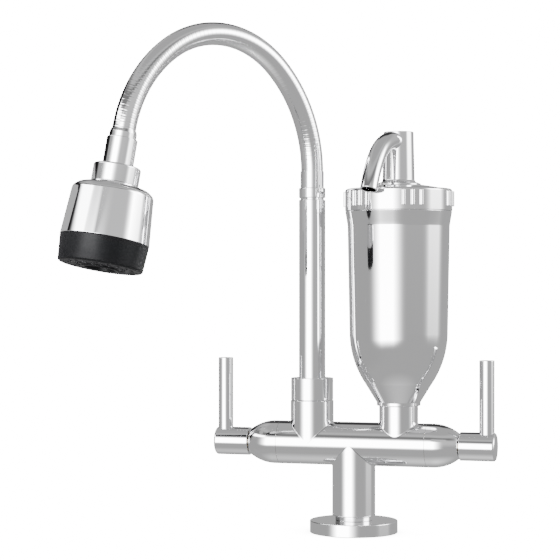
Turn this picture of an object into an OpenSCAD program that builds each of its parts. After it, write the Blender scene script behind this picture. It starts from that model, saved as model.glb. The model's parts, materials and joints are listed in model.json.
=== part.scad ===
// Kitchen tap with a flexible wound spout, a spray head and a built-in water filter.
// The origin is the stem's axis at the deck. X runs along the valve tube, -Y faces the user, +Z is up.

/* [Base] */
// Diameter of the base flange
flange_d = 63.3; // [56:0.1:80]
// Height of the base flange
flange_h = 8.8; // [7:0.1:12]
// Diameter of the stem
stem_d = 31.1; // [30.2:0.1:31.2]
// Height of the lock ring above the flange
lock_ring_h = 3.2; // [2:0.1:5]
// Diameter of the lock ring
lock_ring_d = 26.7; // [25:0.1:31]
// Diameter of the stem's foot, which passes through the ring and the flange
foot_d = 23; // [22.4:0.1:24.5]
// Bore of the inlet thread
inlet_d = 18.6; // [16:0.1:20]
// Depth of the inlet thread
inlet_h = 14; // [10:0.5:20]
// Bore of the waterways in the body
waterway_d = 12; // [9:0.5:14]

/* [Valve tube] */
// Height of the valve tube's axis above the deck
tube_z = 63.6; // [55:0.1:80]
// Diameter of the valve tube
tube_d = 31.3; // [31.3:0.1:33]
// Distance from the stem's axis to each end of the body casting
tube_half = 54.3; // [53.5:0.1:60]
// Length of each domed end
bonnet_len = 22.6; // [20:0.1:26]
// Radius of the dome's arc
bonnet_arc_r = 30; // [27:0.5:40]
// Length of the straight part of each domed end
bonnet_straight = 3.9; // [2:0.1:5]
// Wall of each domed end
bonnet_wall = 2; // [1.4:0.1:2.6]

/* [Valves] */
// Bore of the valve chambers
chamber_d = 20.4; // [19.5:0.1:21.5]
// Distance from the stem's axis to the seat of each valve
seat_s = 17.5; // [16.5:0.1:19]
// Bore of the valve threads
valve_thread_d = 24.6; // [24:0.1:26]
// Length of the valve threads
valve_thread_len = 10.2; // [8:0.1:12]
// Diameter of the ceramic discs
disc_d = 16.4; // [15:0.1:17]
// Thickness of a ceramic disc
disc_t = 3; // [2.5:0.1:3.5]
// Diameter of the valve spindle
spindle_d = 9.6; // [9:0.1:10.4]
// Diameter of the spindle's end in the hub
spline_d = 8; // [7:0.1:8.4]
// Diameter of the valve's nose inside the domed end
nose_d = 14; // [13:0.1:14.6]

/* [Handles] */
// Diameter of the handle hubs
hub_d = 20.4; // [19:0.1:24]
// Length of the handle hubs
hub_len = 25.6; // [25:0.1:32]
// Gap between a domed end and its hub
hub_gap = 0.7; // [0.5:0.1:1.2]
// Radius of the rounding at a hub's outer end
hub_round = 1.8; // [1:0.1:3]
// Diameter of the lever rods
lever_d = 10.8; // [9:0.1:12]
// Height of the lever's top above the tube's axis
lever_top = 61.1; // [45:0.1:80]
// Distance from a hub's inner end to its lever's axis
lever_in_hub = 19; // [18:0.1:20]
// Diameter of the lever's threaded stud
stud_d = 5; // [4:0.1:6]

/* [Spout] */
// Distance from the stem's axis to the riser's axis
riser_x = 31; // [28:0.1:36]
// Diameter of the riser's socket on the body
socket_d = 31.2; // [31.2:0.1:33]
// Height of the socket's top above the deck
socket_z = 94.4; // [90:0.1:100]
// Diameter of the spout nut
nut_d = 30.6; // [29.8:0.1:32]
// Height of the spout nut
nut_h = 15.9; // [15:0.1:20]
// Diameter of the riser tube
riser_d = 19.2; // [18.6:0.1:19.6]
// Wall of the riser tube
riser_wall = 1.2; // [0.8:0.1:1.6]
// Height of the riser's top above the deck
riser_top = 239.4; // [180:0.1:300]
// Direction of the spout, turned from straight left towards the user
spout_turn = 54; // [0:1:90]
// Height of the bead ring on top of the riser
bead_h = 7.2; // [5:0.1:10]
// Length of the crimped sleeve above the bead ring
crimp_len = 12; // [8:0.5:16]
// Diameter of the crimped sleeve
crimp_d = 17; // [16.8:0.1:17.8]
// Radius of the bead ring's corners
bead_round = 1.5; // [0.8:0.1:3]

/* [Hose] */
// Diameter of the wound hose
hose_d = 16.1; // [15:0.1:16.2]
// Depth of the groove between two turns
groove_depth = 0.45; // [0.3:0.05:0.8]
// Pitch of the hose's turns
hose_pitch = 3.4; // [3:0.1:6]
// Inner diameter of the winding
winding_bore = 11.6; // [11.2:0.1:12]
// Diameter of the inner water tube
water_tube_d = 11; // [9:0.1:11.2]
// Wall of the inner water tube
water_tube_wall = 1.5; // [1:0.1:2]
// Radii of the hose's three arcs, from the riser to the head
hose_radii = [100, 74, 91];
// Angles of the hose's three arcs
hose_angles = [48, 77, 43.4];
// Straight length of hose that shows before the head
hose_tail = 1.5; // [0:0.1:10]

/* [Spray head] */
// Diameter of the sleeve above the ball
sleeve_d = 20.8; // [20:0.1:21.6]
// Distance from the hose's end to the sleeve
sleeve_s = 5.8; // [5:0.1:8]
// Distance from the hose's end to the ball nut
ball_nut_s = 24.8; // [22:0.1:28]
// Diameter of the ball nut
ball_nut_d = 32; // [31.4:0.1:34]
// Height of the ball nut
ball_nut_h = 12.3; // [12:0.1:15]
// Diameter of the ball
ball_d = 25.2; // [24.6:0.1:25.6]
// Radius of the ball nut's upper edge
ball_nut_round = 5; // [2:0.1:6]
// Distance from the nut's top to the ball's centre
ball_in_nut = 8.2; // [8:0.1:9]
// Length of the head's shell below the ball nut
shell_len = 38.6; // [34:0.1:50]
// Diameter of the shell under its shoulder
shell_top_d = 55.2; // [50:0.1:58]
// Diameter of the shell at its lower edge
shell_low_d = 60.2; // [58:0.1:64]
// Height of the shell's sloping shoulder
shoulder_h = 3.2; // [2:0.1:5]
// Radius of the shell's shoulder
shoulder_r = 5.5; // [3:0.1:8]
// Wall of the shell
shell_wall = 2.2; // [1.6:0.1:2.6]
// Height of the black selector ring
selector_h = 18; // [14:0.1:24]
// Distance that the selector ring's lower edge lies inside its upper edge
selector_taper = 1.2; // [0.6:0.1:3]
// Radius of the selector ring's lower edge
selector_round = 3; // [2:0.1:4]
// Diameter of the round outlet
outlet_d = 24.7; // [20:0.1:26]
// Number of spray nozzles in each row
nozzle_count = 18; // [8:1:24]

/* [Filter] */
// Distance from the stem's axis to the filter's axis
filter_x = 33; // [31:0.1:40]
// Diameter of the filter's neck
neck_d = 27.9; // [25:0.1:30]
// Height of the neck's top above the deck
neck_z = 91.6; // [88:0.1:98]
// Diameter of the canister's foot lip
lip_d = 31.3; // [29.4:0.1:33]
// Height of the foot lip
lip_h = 2.8; // [2:0.1:4]
// Slope of the cone above the foot lip
cone_slope = 34; // [30:0.5:38]
// Radius of the canister's rounded bottom
bowl_r = 67; // [60:0.5:75]
// Slope of the canister's side
side_slope = 1.05; // [0.5:0.05:1.5]
// Diameter of the canister at the top of its side
canister_d = 73; // [71:0.1:76]
// Height of the top of the canister's side above the deck
canister_z = 220; // [190:0.5:240]
// Wall of the canister
canister_wall = 2; // [1.5:0.1:2.4]
// Height of the flare between the side and the ring nut
flare_h = 10.4; // [8:0.1:14]
// Diameter of the ring nut without its ribs
cap_ring_d = 76.6; // [76:0.1:80]
// Height of the ring nut
cap_ring_h = 15.8; // [14:0.1:20]
// Radius of the ring nut's upper edge
ring_round = 1.8; // [1:0.1:3]
// Number of rib groups on the ring nut
rib_groups = 6; // [4:1:8]
// Number of ribs in a group
ribs_in_group = 3; // [2:1:4]
// Angle between two ribs of a group
rib_pitch = 9.7; // [8:0.1:14]
// Angle of a group's middle, from the filter's side of the tube
rib_turn = -3; // [-30:1:30]
// Radius of a rib
rib_r = 1.35; // [1:0.05:1.8]
// Height of a rib
rib_h = 11; // [8:0.1:14]
// Radius of the lid's dome
lid_dome_r = 142; // [100:1:200]
// Diameter of the flat under the post
post_foot_d = 31.8; // [26:0.1:36]
// Diameter of the post above its foot
post_d = 23; // [20:0.1:25]
// Diameter of the post at its top
post_top_d = 21.4; // [19:0.1:23]
// Height of the post
post_h = 37.9; // [32:0.1:46]
// Diameter of the outlet nozzle
nozzle_d = 12.8; // [11:0.1:14]
// Bore of the outlet nozzle
nozzle_bore = 10; // [8:0.1:11]
// Direction of the outlet nozzle, turned from straight left towards the user
nozzle_turn = 77; // [30:1:90]
// Straight run of the nozzle, from the post's axis
nozzle_run = 9.1; // [8:0.1:14]
// Radii of the nozzle's two arcs
nozzle_radii = [34, 80];
// Angles of the nozzle's two arcs
nozzle_angles = [52, 19];
// Diameter of the carbon block
block_d = 54; // [44:0.5:58]
// Bore of the carbon block
block_bore_d = 16; // [10:0.5:24]
// Gap between the carbon block's upper cap and the lid's boss
block_top_gap = 3; // [2:0.5:8]

/* [Clearances] */
// Radial clearance of a running fit
run_gap = 0.05; // [0.02:0.01:0.1]
// Gap between seated faces
seat_gap = 0.05; // [0.02:0.01:0.1]
// Height of the visible seam between two screwed pieces
seam = 0.4; // [0.2:0.1:0.6]
// Thickness of an O-ring
oring_t = 2; // [1.6:0.1:2.2]

/* [Hidden] */
$fn = 96;
over = 1;
chrome = [0.80, 0.81, 0.83];
brass = [0.80, 0.65, 0.35];
steel = [0.62, 0.63, 0.65];
rubber = [0.12, 0.12, 0.13];
ceramic = [0.95, 0.94, 0.90];
plastic = [0.92, 0.92, 0.90];
carbon = [0.16, 0.16, 0.17];
black = [0.07, 0.07, 0.08];

// Roundings and reliefs that the turned pieces share
edge_r = 0.6;
relief = 0.2;
mesh_gap = 0.02;
groove_gap = 0.15;

// The base's underside
gasket_d = flange_d - 8;
gasket_bore_d = foot_d + 13;
gasket_h = 1.5;
stem_z = flange_h + lock_ring_h + seam;

// Places along the valves, measured from the stem's axis
tube_r = tube_d / 2;
seal_bore_d = waterway_d - 1;
nose_thread_d = valve_thread_d - 2.8;
nose_thread_len = 8;
seal_t = 3.5;
fixed_disc_s = seat_s + seal_t;
turning_disc_s = fixed_disc_s + disc_t + seat_gap;
spindle_s = turning_disc_s + disc_t + seat_gap;
spindle_gap_h = 5;
spindle_head_h = 5.8;
shaft_s = spindle_s + spindle_gap_h + spindle_head_h;
cartridge_s = seat_s + 2.4;
thread_s = tube_half - valve_thread_len;
bonnet_end_s = tube_half + bonnet_len;
hub_s = bonnet_end_s + hub_gap;
hub_end_s = hub_s + hub_len;
lever_s = hub_s + lever_in_hub;
nose_end_s = bonnet_end_s - 0.7;
clip_t = 0.6;
clip_gap = 3;
spline_end_s = lever_s - stud_d / 2 - 2.4;
lever_seat_r = sqrt(pow(hub_d / 2, 2) - pow(lever_d / 2 + run_gap, 2)) - 0.05;
lug_w = 4;
lug_depth = 2;
lug_s = turning_disc_s + 1.3;
clip_depth = 0.7;
clip_stand = 1.3;
port_in_r = 2;
port_out_r = 6.2;
oring_inset = 8;
oring_pitch = 6;
spindle_orings_s = [shaft_s + oring_inset, shaft_s + oring_inset + oring_pitch];
screw_s = hub_s + 8;
screw_d = 4;
key_d = 2.3;
key_depth = 2.2;

// Heights along the spout
socket_neck_d = 26;
socket_neck_h = 10;
tail_d = 20.6;
tail_flange_d = 23;
tail_flange_h = 2.3;
socket_bore_d = tail_d + 2 * run_gap;
washer_t = 0.65;
tail_rise = 14;
tail_bottom_z = tube_z + tail_rise;
neck_top_z = socket_z + socket_neck_h;
tail_flange_z = neck_top_z + washer_t + 2 * seat_gap;
nut_lip_z = tail_flange_z + tail_flange_h + washer_t + 2 * seat_gap;
nut_top_z = socket_z + seam + nut_h;
tail_bore_d = waterway_d;
riser_socket_h = 4;
riser_low_z = tail_flange_z - riser_socket_h;
ferrule_groove_h = 1.4;
bead_z = riser_top + ferrule_groove_h;
crimp_z = bead_z + bead_h;
hose_inlet_z = crimp_z + 2;
crimp_top_z = crimp_z + crimp_len;
spout_oring_rise = 6;
spout_oring_pitch = 8;
spout_orings_z = [
    tail_bottom_z + spout_oring_rise,
    tail_bottom_z + spout_oring_rise + spout_oring_pitch
];
tube_sides = 12;
barb_d = (water_tube_d - 2 * water_tube_wall) * cos(180 / tube_sides) - 2 * run_gap;
barb_wall = 1.2;
ferrule_plug_h = 11;

// A centre line runs in a plane: a place on it is its distance outwards, its height and its heading
// from straight up. A step of it is [radius, angle] for an arc, or [0, length] for a straight.
function step_len(step) = step[0] == 0 ? step[1] : step[0] * step[1] * PI / 180;
function after_step(p, step, s) =
    step[0] == 0
        ? [p[0] + s * sin(p[2]), p[1] + s * cos(p[2]), p[2]]
        : let (a = s / step[0] * 180 / PI) [
            p[0] + step[0] * (cos(p[2]) - cos(p[2] + a)),
            p[1] + step[0] * (sin(p[2] + a) - sin(p[2])),
            p[2] + a
        ];
function along(p, steps, s, i = 0) =
    s <= step_len(steps[i]) || i == len(steps) - 1
        ? after_step(p, steps[i], s)
        : along(after_step(p, steps[i], step_len(steps[i])), steps, s - step_len(steps[i]), i + 1);
function path_len(steps, i = 0) = i == len(steps) ? 0 : step_len(steps[i]) + path_len(steps, i + 1);

// A point on a circle of radius r round the centre line's place p
function round_point(p, a, r) = [
    p[0] + r * cos(a) * cos(p[2]),
    r * sin(a),
    p[1] - r * cos(a) * sin(p[2])
];

hose_in_ferrule = 4;
head_plug_d = 11;
head_plug_h = 7;
head_bore_d = 7;
hose_start = [0, hose_inlet_z, 0];
hose_steps = [
    [0, crimp_top_z - 0.5 - hose_inlet_z],
    for (i = [0:2]) [hose_radii[i], hose_angles[i]],
    [0, hose_tail + hose_in_ferrule]
];
hose_len = path_len(hose_steps);
hose_end = along(hose_start, hose_steps, hose_len - hose_in_ferrule);
head_tilt = 180 - hose_end[2];

// Places along the head, measured from the hose's end
ball_s = ball_nut_s + ball_in_nut;
sleeve_end_s = ball_s - 6.9;
ball_end_s = ball_s + 8.2;
shell_s = ball_nut_s + ball_nut_h;
shell_end_s = shell_s + shell_len;
selector_end_s = shell_end_s + seam / 2 + selector_h;
neck_hole_d = 23.8;
ball_nut_wall = 1.9;
shell_neck_d = ball_nut_d - 2 * ball_nut_wall - 2 * run_gap;
shell_neck_h = 3.6;
ball_gap = 0.06;
seal_s = ball_s + 7.2;
seal_h = 3;
ball_seal_bore_d = 15;
shell_web_s = seal_s + seal_h + seat_gap;
shell_web_h = 2.8;
shell_corner_s = shell_s + shoulder_h + shoulder_r;
shell_spread = (shell_low_d - shell_top_d) / 2 / (shell_end_s - shell_corner_s);
function shell_bore_r(s) = shell_top_d / 2 - shell_wall + (s - shell_corner_s) * shell_spread;
web_bore_d = 14;
core_s = shell_web_s + shell_web_h + seat_gap;
core_bore_d = 9;
core_end_s = shell_end_s + 4;
core_tail_d = outlet_d - 4.4;
spigot_h = 5;
spigot_d = 2 * min(shell_bore_r(shell_end_s - spigot_h), shell_bore_r(shell_end_s)) - 2 * run_gap;
selector_oring_s = shell_end_s - spigot_h / 2;
selector_oring_d = 2 * (shell_bore_r(selector_oring_s) - 2 * run_gap);
selector_top_d = shell_low_d - 0.2;
selector_low_d = selector_top_d - 2 * selector_taper;
plate_inset = 2.6;
plate_s = selector_end_s - plate_inset;
plate_h = 2.2;
plate_d = selector_low_d - 2 * selector_round - 0.8;
nozzle_tip_h = 0.8;
outlet_stand = 1;
aerator_s = shell_end_s + 1.5;
mesh_h = 1.2;
mesh_pitch = 2.4;
mesh_hole = 1.6;
mesh_ledge = 0.6;

// Heights along the filter
cone_foot_z = neck_z + lip_h;
bowl_h = 51.7;
bowl_top_z = neck_z + bowl_h;
bowl_centre_r = canister_d / 2 - (canister_z - bowl_top_z) * tan(side_slope) - bowl_r * cos(side_slope);
bowl_centre_z = bowl_top_z + bowl_r * sin(side_slope);
function bowl_point(slope, inset) = [
    bowl_centre_r + (bowl_r - inset) * cos(slope),
    bowl_centre_z - (bowl_r - inset) * sin(slope)
];
floor_z = neck_z + 8.3;
stub_d = 20.4;
stub_h = 8;
stub_gasket_d = stub_d + 6.4;
stub_gasket_h = 1.6;
shoulder_z = canister_z + flare_h;
thread_neck_d = cap_ring_d - 2.6;
rim_z = shoulder_z + 12.6;
lid_flange_h = 1.9;
lid_flange_z = rim_z + seat_gap;
ring_low_z = shoulder_z + 0.3;
ring_top_z = ring_low_z + cap_ring_h;
rib_z = ring_low_z + 3;
ring_lip_z = lid_flange_z + lid_flange_h + seat_gap;
ring_hole_d = 66;
lid_plate_d = ring_hole_d - 0.4;
skirt_d = canister_d - 2 * canister_wall - 0.4;
post_z = ring_top_z + 2.9;
lid_boss_d = 26;
lid_boss_h = 14;
lid_boss_drop = 15;
lid_boss_z = rim_z - lid_boss_drop;
lid_groove_z = shoulder_z + 3;
skirt_t = 3.6;
tail_z = lid_boss_z + 12;
post_tail_d = 16;
post_tail_h = 2.6;
post_bore_d = 9;
post_oring_z = post_z - 6;
post_clip_t = 1.1;
clip_z = tail_z - post_clip_t - 0.4;
nozzle_seat_x = 2;
nozzle_z = post_z + post_h - 7.1;
block_foot_h = 21.1;
block_foot_d = 28;
block_foot_wall = 2.4;
foot_slot_w = 6;
cap_t = 3;
cap_skirt_h = 4;
cap_wall = 0.5;
block_z = floor_z + block_foot_h + cap_t;
block_top_z = lid_boss_z - block_top_gap - cap_t;
top_spigot_d = 20;
top_spigot_h = 7.4;
block_oring_z = lid_boss_z + 4;

// A round bar with a hole, from one height to another
module tube(outer, inner, from, to) {
    translate([0, 0, from])
        difference() {
            cylinder(h = to - from, d = outer);
            translate([0, 0, -over]) cylinder(h = to - from + 2 * over, d = inner);
        }
}

// A round bar from one height to another
module bar(d, from, to) {
    translate([0, 0, from]) cylinder(h = to - from, d = d);
}

// An O-ring of outer diameter d at height z
module oring(d, z) {
    translate([0, 0, z])
        rotate_extrude()
            translate([(d - oring_t) / 2, 0]) circle(d = oring_t);
}

// The groove of an O-ring in a bar of diameter d at height z
module oring_groove(d, z) {
    half_h = oring_t / 2 + groove_gap;
    tube(d + over, d - 2 * (oring_t + seat_gap), z - half_h, z + half_h);
}

// Half of a round bar's section with a rounded upper edge
module rounded_half(r, from, to, edge) {
    translate([0, from]) square([r - edge, to - from]);
    translate([0, from]) square([r, to - edge - from]);
    translate([r - edge, to - edge]) circle(r = edge);
}

// Places a valve's piece on the left or right end of the tube, with its own axis along Z
module on_side(side) {
    translate([0, 0, tube_z])
        mirror([side < 0 ? 1 : 0, 0, 0])
            rotate([0, 90, 0]) children();
}

module at_riser() {
    translate([-riser_x, 0, 0]) rotate([0, 0, 180 + spout_turn]) children();
}

module at_head() {
    at_riser()
        translate([hose_end[0], 0, hose_end[1]]) rotate([0, 180 - head_tilt, 0]) children();
}

module at_filter() {
    translate([filter_x, 0, 0]) children();
}

module at_outlet() {
    translate([filter_x, 0, 0]) rotate([0, 0, 180 + nozzle_turn]) children();
}

module base_flange() {
    color(chrome)
        difference() {
            rotate_extrude() rounded_half(flange_d / 2, 0, flange_h, edge_r);
            translate([0, 0, -over]) cylinder(h = flange_h + 2 * over, d = foot_d + 2 * seat_gap);
            tube(gasket_d, gasket_bore_d, -over, gasket_h);
        }
}

module base_gasket() {
    color(rubber) tube(gasket_d - 2 * seat_gap, gasket_bore_d + 2 * seat_gap, 0, gasket_h - seat_gap);
}

module lock_ring() {
    color(chrome)
        tube(lock_ring_d, foot_d + 2 * run_gap, flange_h + seat_gap, flange_h + lock_ring_h);
}

module body_casting() {
    color(chrome)
        difference() {
            union() {
                on_side(1) translate([0, 0, -tube_half]) cylinder(h = 2 * tube_half, d = tube_d);
                bar(foot_d, 0, stem_z + over);
                bar(stem_d, stem_z, tube_z);
                at_riser() bar(socket_d, tube_z, socket_z);
                at_riser() bar(socket_neck_d, tube_z, neck_top_z);
                at_filter() bar(neck_d, tube_z, neck_z);
                at_filter() bar(stub_d, tube_z, neck_z + stub_h);
            }
            translate([0, 0, -over]) cylinder(h = inlet_h + over, d = inlet_d);
            bar(waterway_d + 1, 1, tube_z);
            on_side(1) translate([0, 0, -seat_s - over]) cylinder(h = 2 * (seat_s + over), d = seal_bore_d);
            for (side = [-1, 1])
                on_side(side) {
                    bar(chamber_d, seat_s, thread_s + over);
                    bar(valve_thread_d, thread_s, tube_half + over);
                    bar(tube_d + relief, tube_half + mesh_gap, bonnet_end_s);
                }
            at_riser() bar(waterway_d, tube_z, tail_bottom_z + over);
            at_riser() bar(socket_bore_d, tail_bottom_z, neck_top_z + over);
            at_filter() bar(waterway_d - 0.5, tube_z, neck_z + stub_h + over);
        }
}

module bonnet(side) {
    color(chrome)
        on_side(side)
            rotate_extrude()
                difference() {
                    intersection() {
                        translate([0, tube_half + 2 * seat_gap]) square([tube_r, bonnet_len - 2 * seat_gap]);
                        union() {
                            translate([0, tube_half]) square([tube_r, bonnet_straight]);
                            translate([tube_r - bonnet_arc_r, tube_half + bonnet_straight])
                                circle(r = bonnet_arc_r);
                        }
                    }
                    square([nose_d / 2 + relief, bonnet_end_s + over]);
                    square([nose_thread_d / 2, tube_half + nose_thread_len + 2 * relief]);
                    intersection() {
                        translate([0, tube_half + nose_thread_len])
                            square([tube_r, bonnet_len - nose_thread_len - bonnet_wall]);
                        translate([tube_r - bonnet_arc_r, tube_half + bonnet_straight])
                            circle(r = bonnet_arc_r - bonnet_wall - 1);
                    }
                }
}

module cartridge(side) {
    color(brass)
        on_side(side)
            difference() {
                union() {
                    bar(chamber_d - 2 * run_gap, cartridge_s, thread_s + over);
                    bar(valve_thread_d - 2 * run_gap, thread_s + seat_gap, tube_half - seat_gap);
                    bar(nose_thread_d - 2 * run_gap, tube_half - over, tube_half + nose_thread_len);
                    bar(nose_d, tube_half, nose_end_s);
                }
                bar(disc_d + 2 * run_gap, cartridge_s - over, shaft_s + seat_gap);
                bar(spindle_d + 2 * run_gap, shaft_s, nose_end_s + over);
                translate([-tube_d / 2, -lug_w, turning_disc_s + disc_t])
                    cube([tube_d, 2 * lug_w, spindle_gap_h + over]);
            }
}

module seat_seal(side) {
    color(rubber) on_side(side) tube(disc_d, seal_bore_d, seat_s + mesh_gap, fixed_disc_s - mesh_gap);
}

// The two water ports of a ceramic disc, turned by an angle
module disc_ports(turn) {
    for (a = [turn, turn + 180])
        rotate(a)
            intersection() {
                difference() {
                    circle(r = port_out_r);
                    circle(r = port_in_r);
                }
                polygon([[0, 0], [disc_d, disc_d], [disc_d, -disc_d]]);
            }
}

module fixed_disc(side) {
    color(ceramic)
        on_side(side)
            translate([0, 0, fixed_disc_s])
                linear_extrude(disc_t)
                    difference() {
                        circle(d = disc_d);
                        disc_ports(0);
                    }
}

module turning_disc(side) {
    color(ceramic)
        on_side(side)
            difference() {
                translate([0, 0, turning_disc_s])
                    linear_extrude(disc_t)
                        difference() {
                            circle(d = disc_d - 2 * run_gap);
                            disc_ports(90);
                        }
                for (a = [0, 180])
                    rotate(a)
                        translate([disc_d / 2 - lug_depth, -lug_w / 2 - run_gap, lug_s - 2 * seat_gap])
                            cube([lug_depth + over, lug_w + 2 * run_gap, disc_t]);
            }
}

module spindle(side) {
    color(brass)
        on_side(side) {
            difference() {
                union() {
                    bar(disc_d - 2 * run_gap, spindle_s + spindle_gap_h, shaft_s);
                    bar(spindle_d, shaft_s - over, hub_s - relief);
                    bar(spline_d, hub_s - over, spline_end_s);
                }
                for (s = spindle_orings_s) oring_groove(spindle_d, s);
                tube(spindle_d + over, spindle_d - 2 * clip_depth,
                    nose_end_s + seat_gap, nose_end_s + clip_t + 3 * seat_gap);
            }
            intersection() {
                bar(disc_d - 2 * run_gap, lug_s, spindle_s + spindle_gap_h + over);
                for (a = [0, 180])
                    rotate(a)
                        translate([disc_d / 2 - lug_depth + run_gap, -lug_w / 2, turning_disc_s])
                            cube([lug_depth, lug_w, 2 * disc_t + spindle_gap_h]);
            }
        }
}

module spindle_orings(side) {
    color(rubber)
        on_side(side)
            for (s = spindle_orings_s) oring(spindle_d + run_gap, s);
}

module spindle_clip(side) {
    color(steel)
        on_side(side)
            difference() {
                tube(spindle_d + 2 * clip_stand, spindle_d - 2 * clip_depth + 2 * seat_gap,
                    nose_end_s + 2 * seat_gap, nose_end_s + clip_t + 2 * seat_gap);
                translate([spindle_d / 2 - over, -clip_gap / 2, nose_end_s])
                    cube([spindle_d, clip_gap, clip_t + over]);
            }
}

module handle_hub(side) {
    color(chrome)
        on_side(side)
            difference() {
                rotate_extrude() {
                    rounded_half(hub_d / 2, hub_s + edge_r, hub_end_s, hub_round);
                    polygon([
                        [0, hub_s], [hub_d / 2 - edge_r, hub_s], [hub_d / 2, hub_s + edge_r],
                        [hub_d / 2, hub_s + 2 * edge_r], [0, hub_s + 2 * edge_r]
                    ]);
                }
                bar(spline_d + 2 * run_gap, hub_s - over, spline_end_s + 2 * relief);
                translate([-lever_seat_r, 0, lever_s])
                    rotate([0, -90, 0]) cylinder(h = hub_d, d = lever_d + 2 * run_gap);
                translate([-stud_d / 2, 0, lever_s])
                    rotate([0, -90, 0]) cylinder(h = hub_d, d = stud_d + 2 * run_gap);
                translate([0, 0, screw_s]) rotate([0, 90, 0]) cylinder(h = hub_d, d = screw_d);
            }
}

module lever(side) {
    color(chrome)
        on_side(side)
            translate([0, 0, lever_s])
                rotate([0, -90, 0]) {
                    rotate_extrude() rounded_half(lever_d / 2, lever_seat_r + seat_gap, lever_top, edge_r);
                    bar(stud_d, stud_d / 2 + relief, lever_seat_r + over);
                }
}

module grub_screw(side) {
    color(steel)
        on_side(side)
            translate([0, 0, screw_s])
                rotate([0, 90, 0])
                    difference() {
                        bar(screw_d - 2 * run_gap, spline_d / 2 + seat_gap, hub_d / 2 - edge_r);
                        translate([0, 0, hub_d / 2 - edge_r - key_depth])
                            cylinder(h = key_depth + over, d = key_d, $fn = 6);
                    }
}

module spout_nut() {
    color(chrome)
        at_riser()
            difference() {
                rotate_extrude() rounded_half(nut_d / 2, socket_z + seam, nut_top_z, edge_r);
                bar(socket_neck_d + 2 * run_gap, socket_z, tail_flange_z);
                bar(tail_flange_d + 2 * relief, socket_z, nut_lip_z);
                bar(riser_d + 2 * run_gap, socket_z, nut_top_z + over);
            }
}

module swivel_washers() {
    color(plastic)
        at_riser() {
            tube(tail_flange_d, tail_d + 2 * relief, neck_top_z + seat_gap, neck_top_z + seat_gap + washer_t);
            tube(tail_flange_d, riser_d + 2 * relief, nut_lip_z - washer_t - seat_gap, nut_lip_z - seat_gap);
        }
}

module spout_tail() {
    color(brass)
        at_riser()
            difference() {
                union() {
                    bar(tail_d, tail_bottom_z + relief, tail_flange_z + over);
                    bar(tail_flange_d, tail_flange_z, tail_flange_z + tail_flange_h);
                }
                bar(tail_bore_d, tail_bottom_z - over, tail_flange_z + 2 * over);
                bar(riser_d + 2 * mesh_gap, riser_low_z, tail_flange_z + tail_flange_h + over);
                for (z = spout_orings_z) oring_groove(tail_d, z);
            }
}

module spout_orings() {
    color(rubber) at_riser() for (z = spout_orings_z) oring(tail_d + run_gap, z);
}

module riser_tube() {
    color(chrome) at_riser() tube(riser_d, riser_d - 2 * riser_wall, riser_low_z + seat_gap, riser_top);
}

module riser_ferrule() {
    color(chrome)
        at_riser()
            rotate_extrude()
                difference() {
                    union() {
                        translate([0, riser_top - ferrule_plug_h])
                            square([riser_d / 2 - riser_wall - mesh_gap, ferrule_plug_h + over]);
                        translate([0, riser_top + seat_gap]) square([crimp_d / 2, crimp_top_z - riser_top]);
                        translate([0, bead_z]) square([riser_d / 2 - bead_round, bead_h]);
                        translate([0, bead_z + bead_round]) square([riser_d / 2, bead_h - 2 * bead_round]);
                        for (z = [bead_z + bead_round, crimp_z - bead_round])
                            translate([riser_d / 2 - bead_round, z]) circle(r = bead_round);
                    }
                    translate([0, riser_top - ferrule_plug_h - over])
                        square([barb_d / 2 - barb_wall, crimp_top_z - riser_top + ferrule_plug_h + 2 * over]);
                    translate([0, hose_inlet_z - 2 * seat_gap])
                        square([hose_d / 2 + 2 * seat_gap, crimp_len + over]);
                }
    color(chrome)
        at_riser() tube(barb_d, barb_d - 2 * barb_wall, hose_inlet_z - 2 * relief, crimp_top_z - barb_wall);
}

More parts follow.
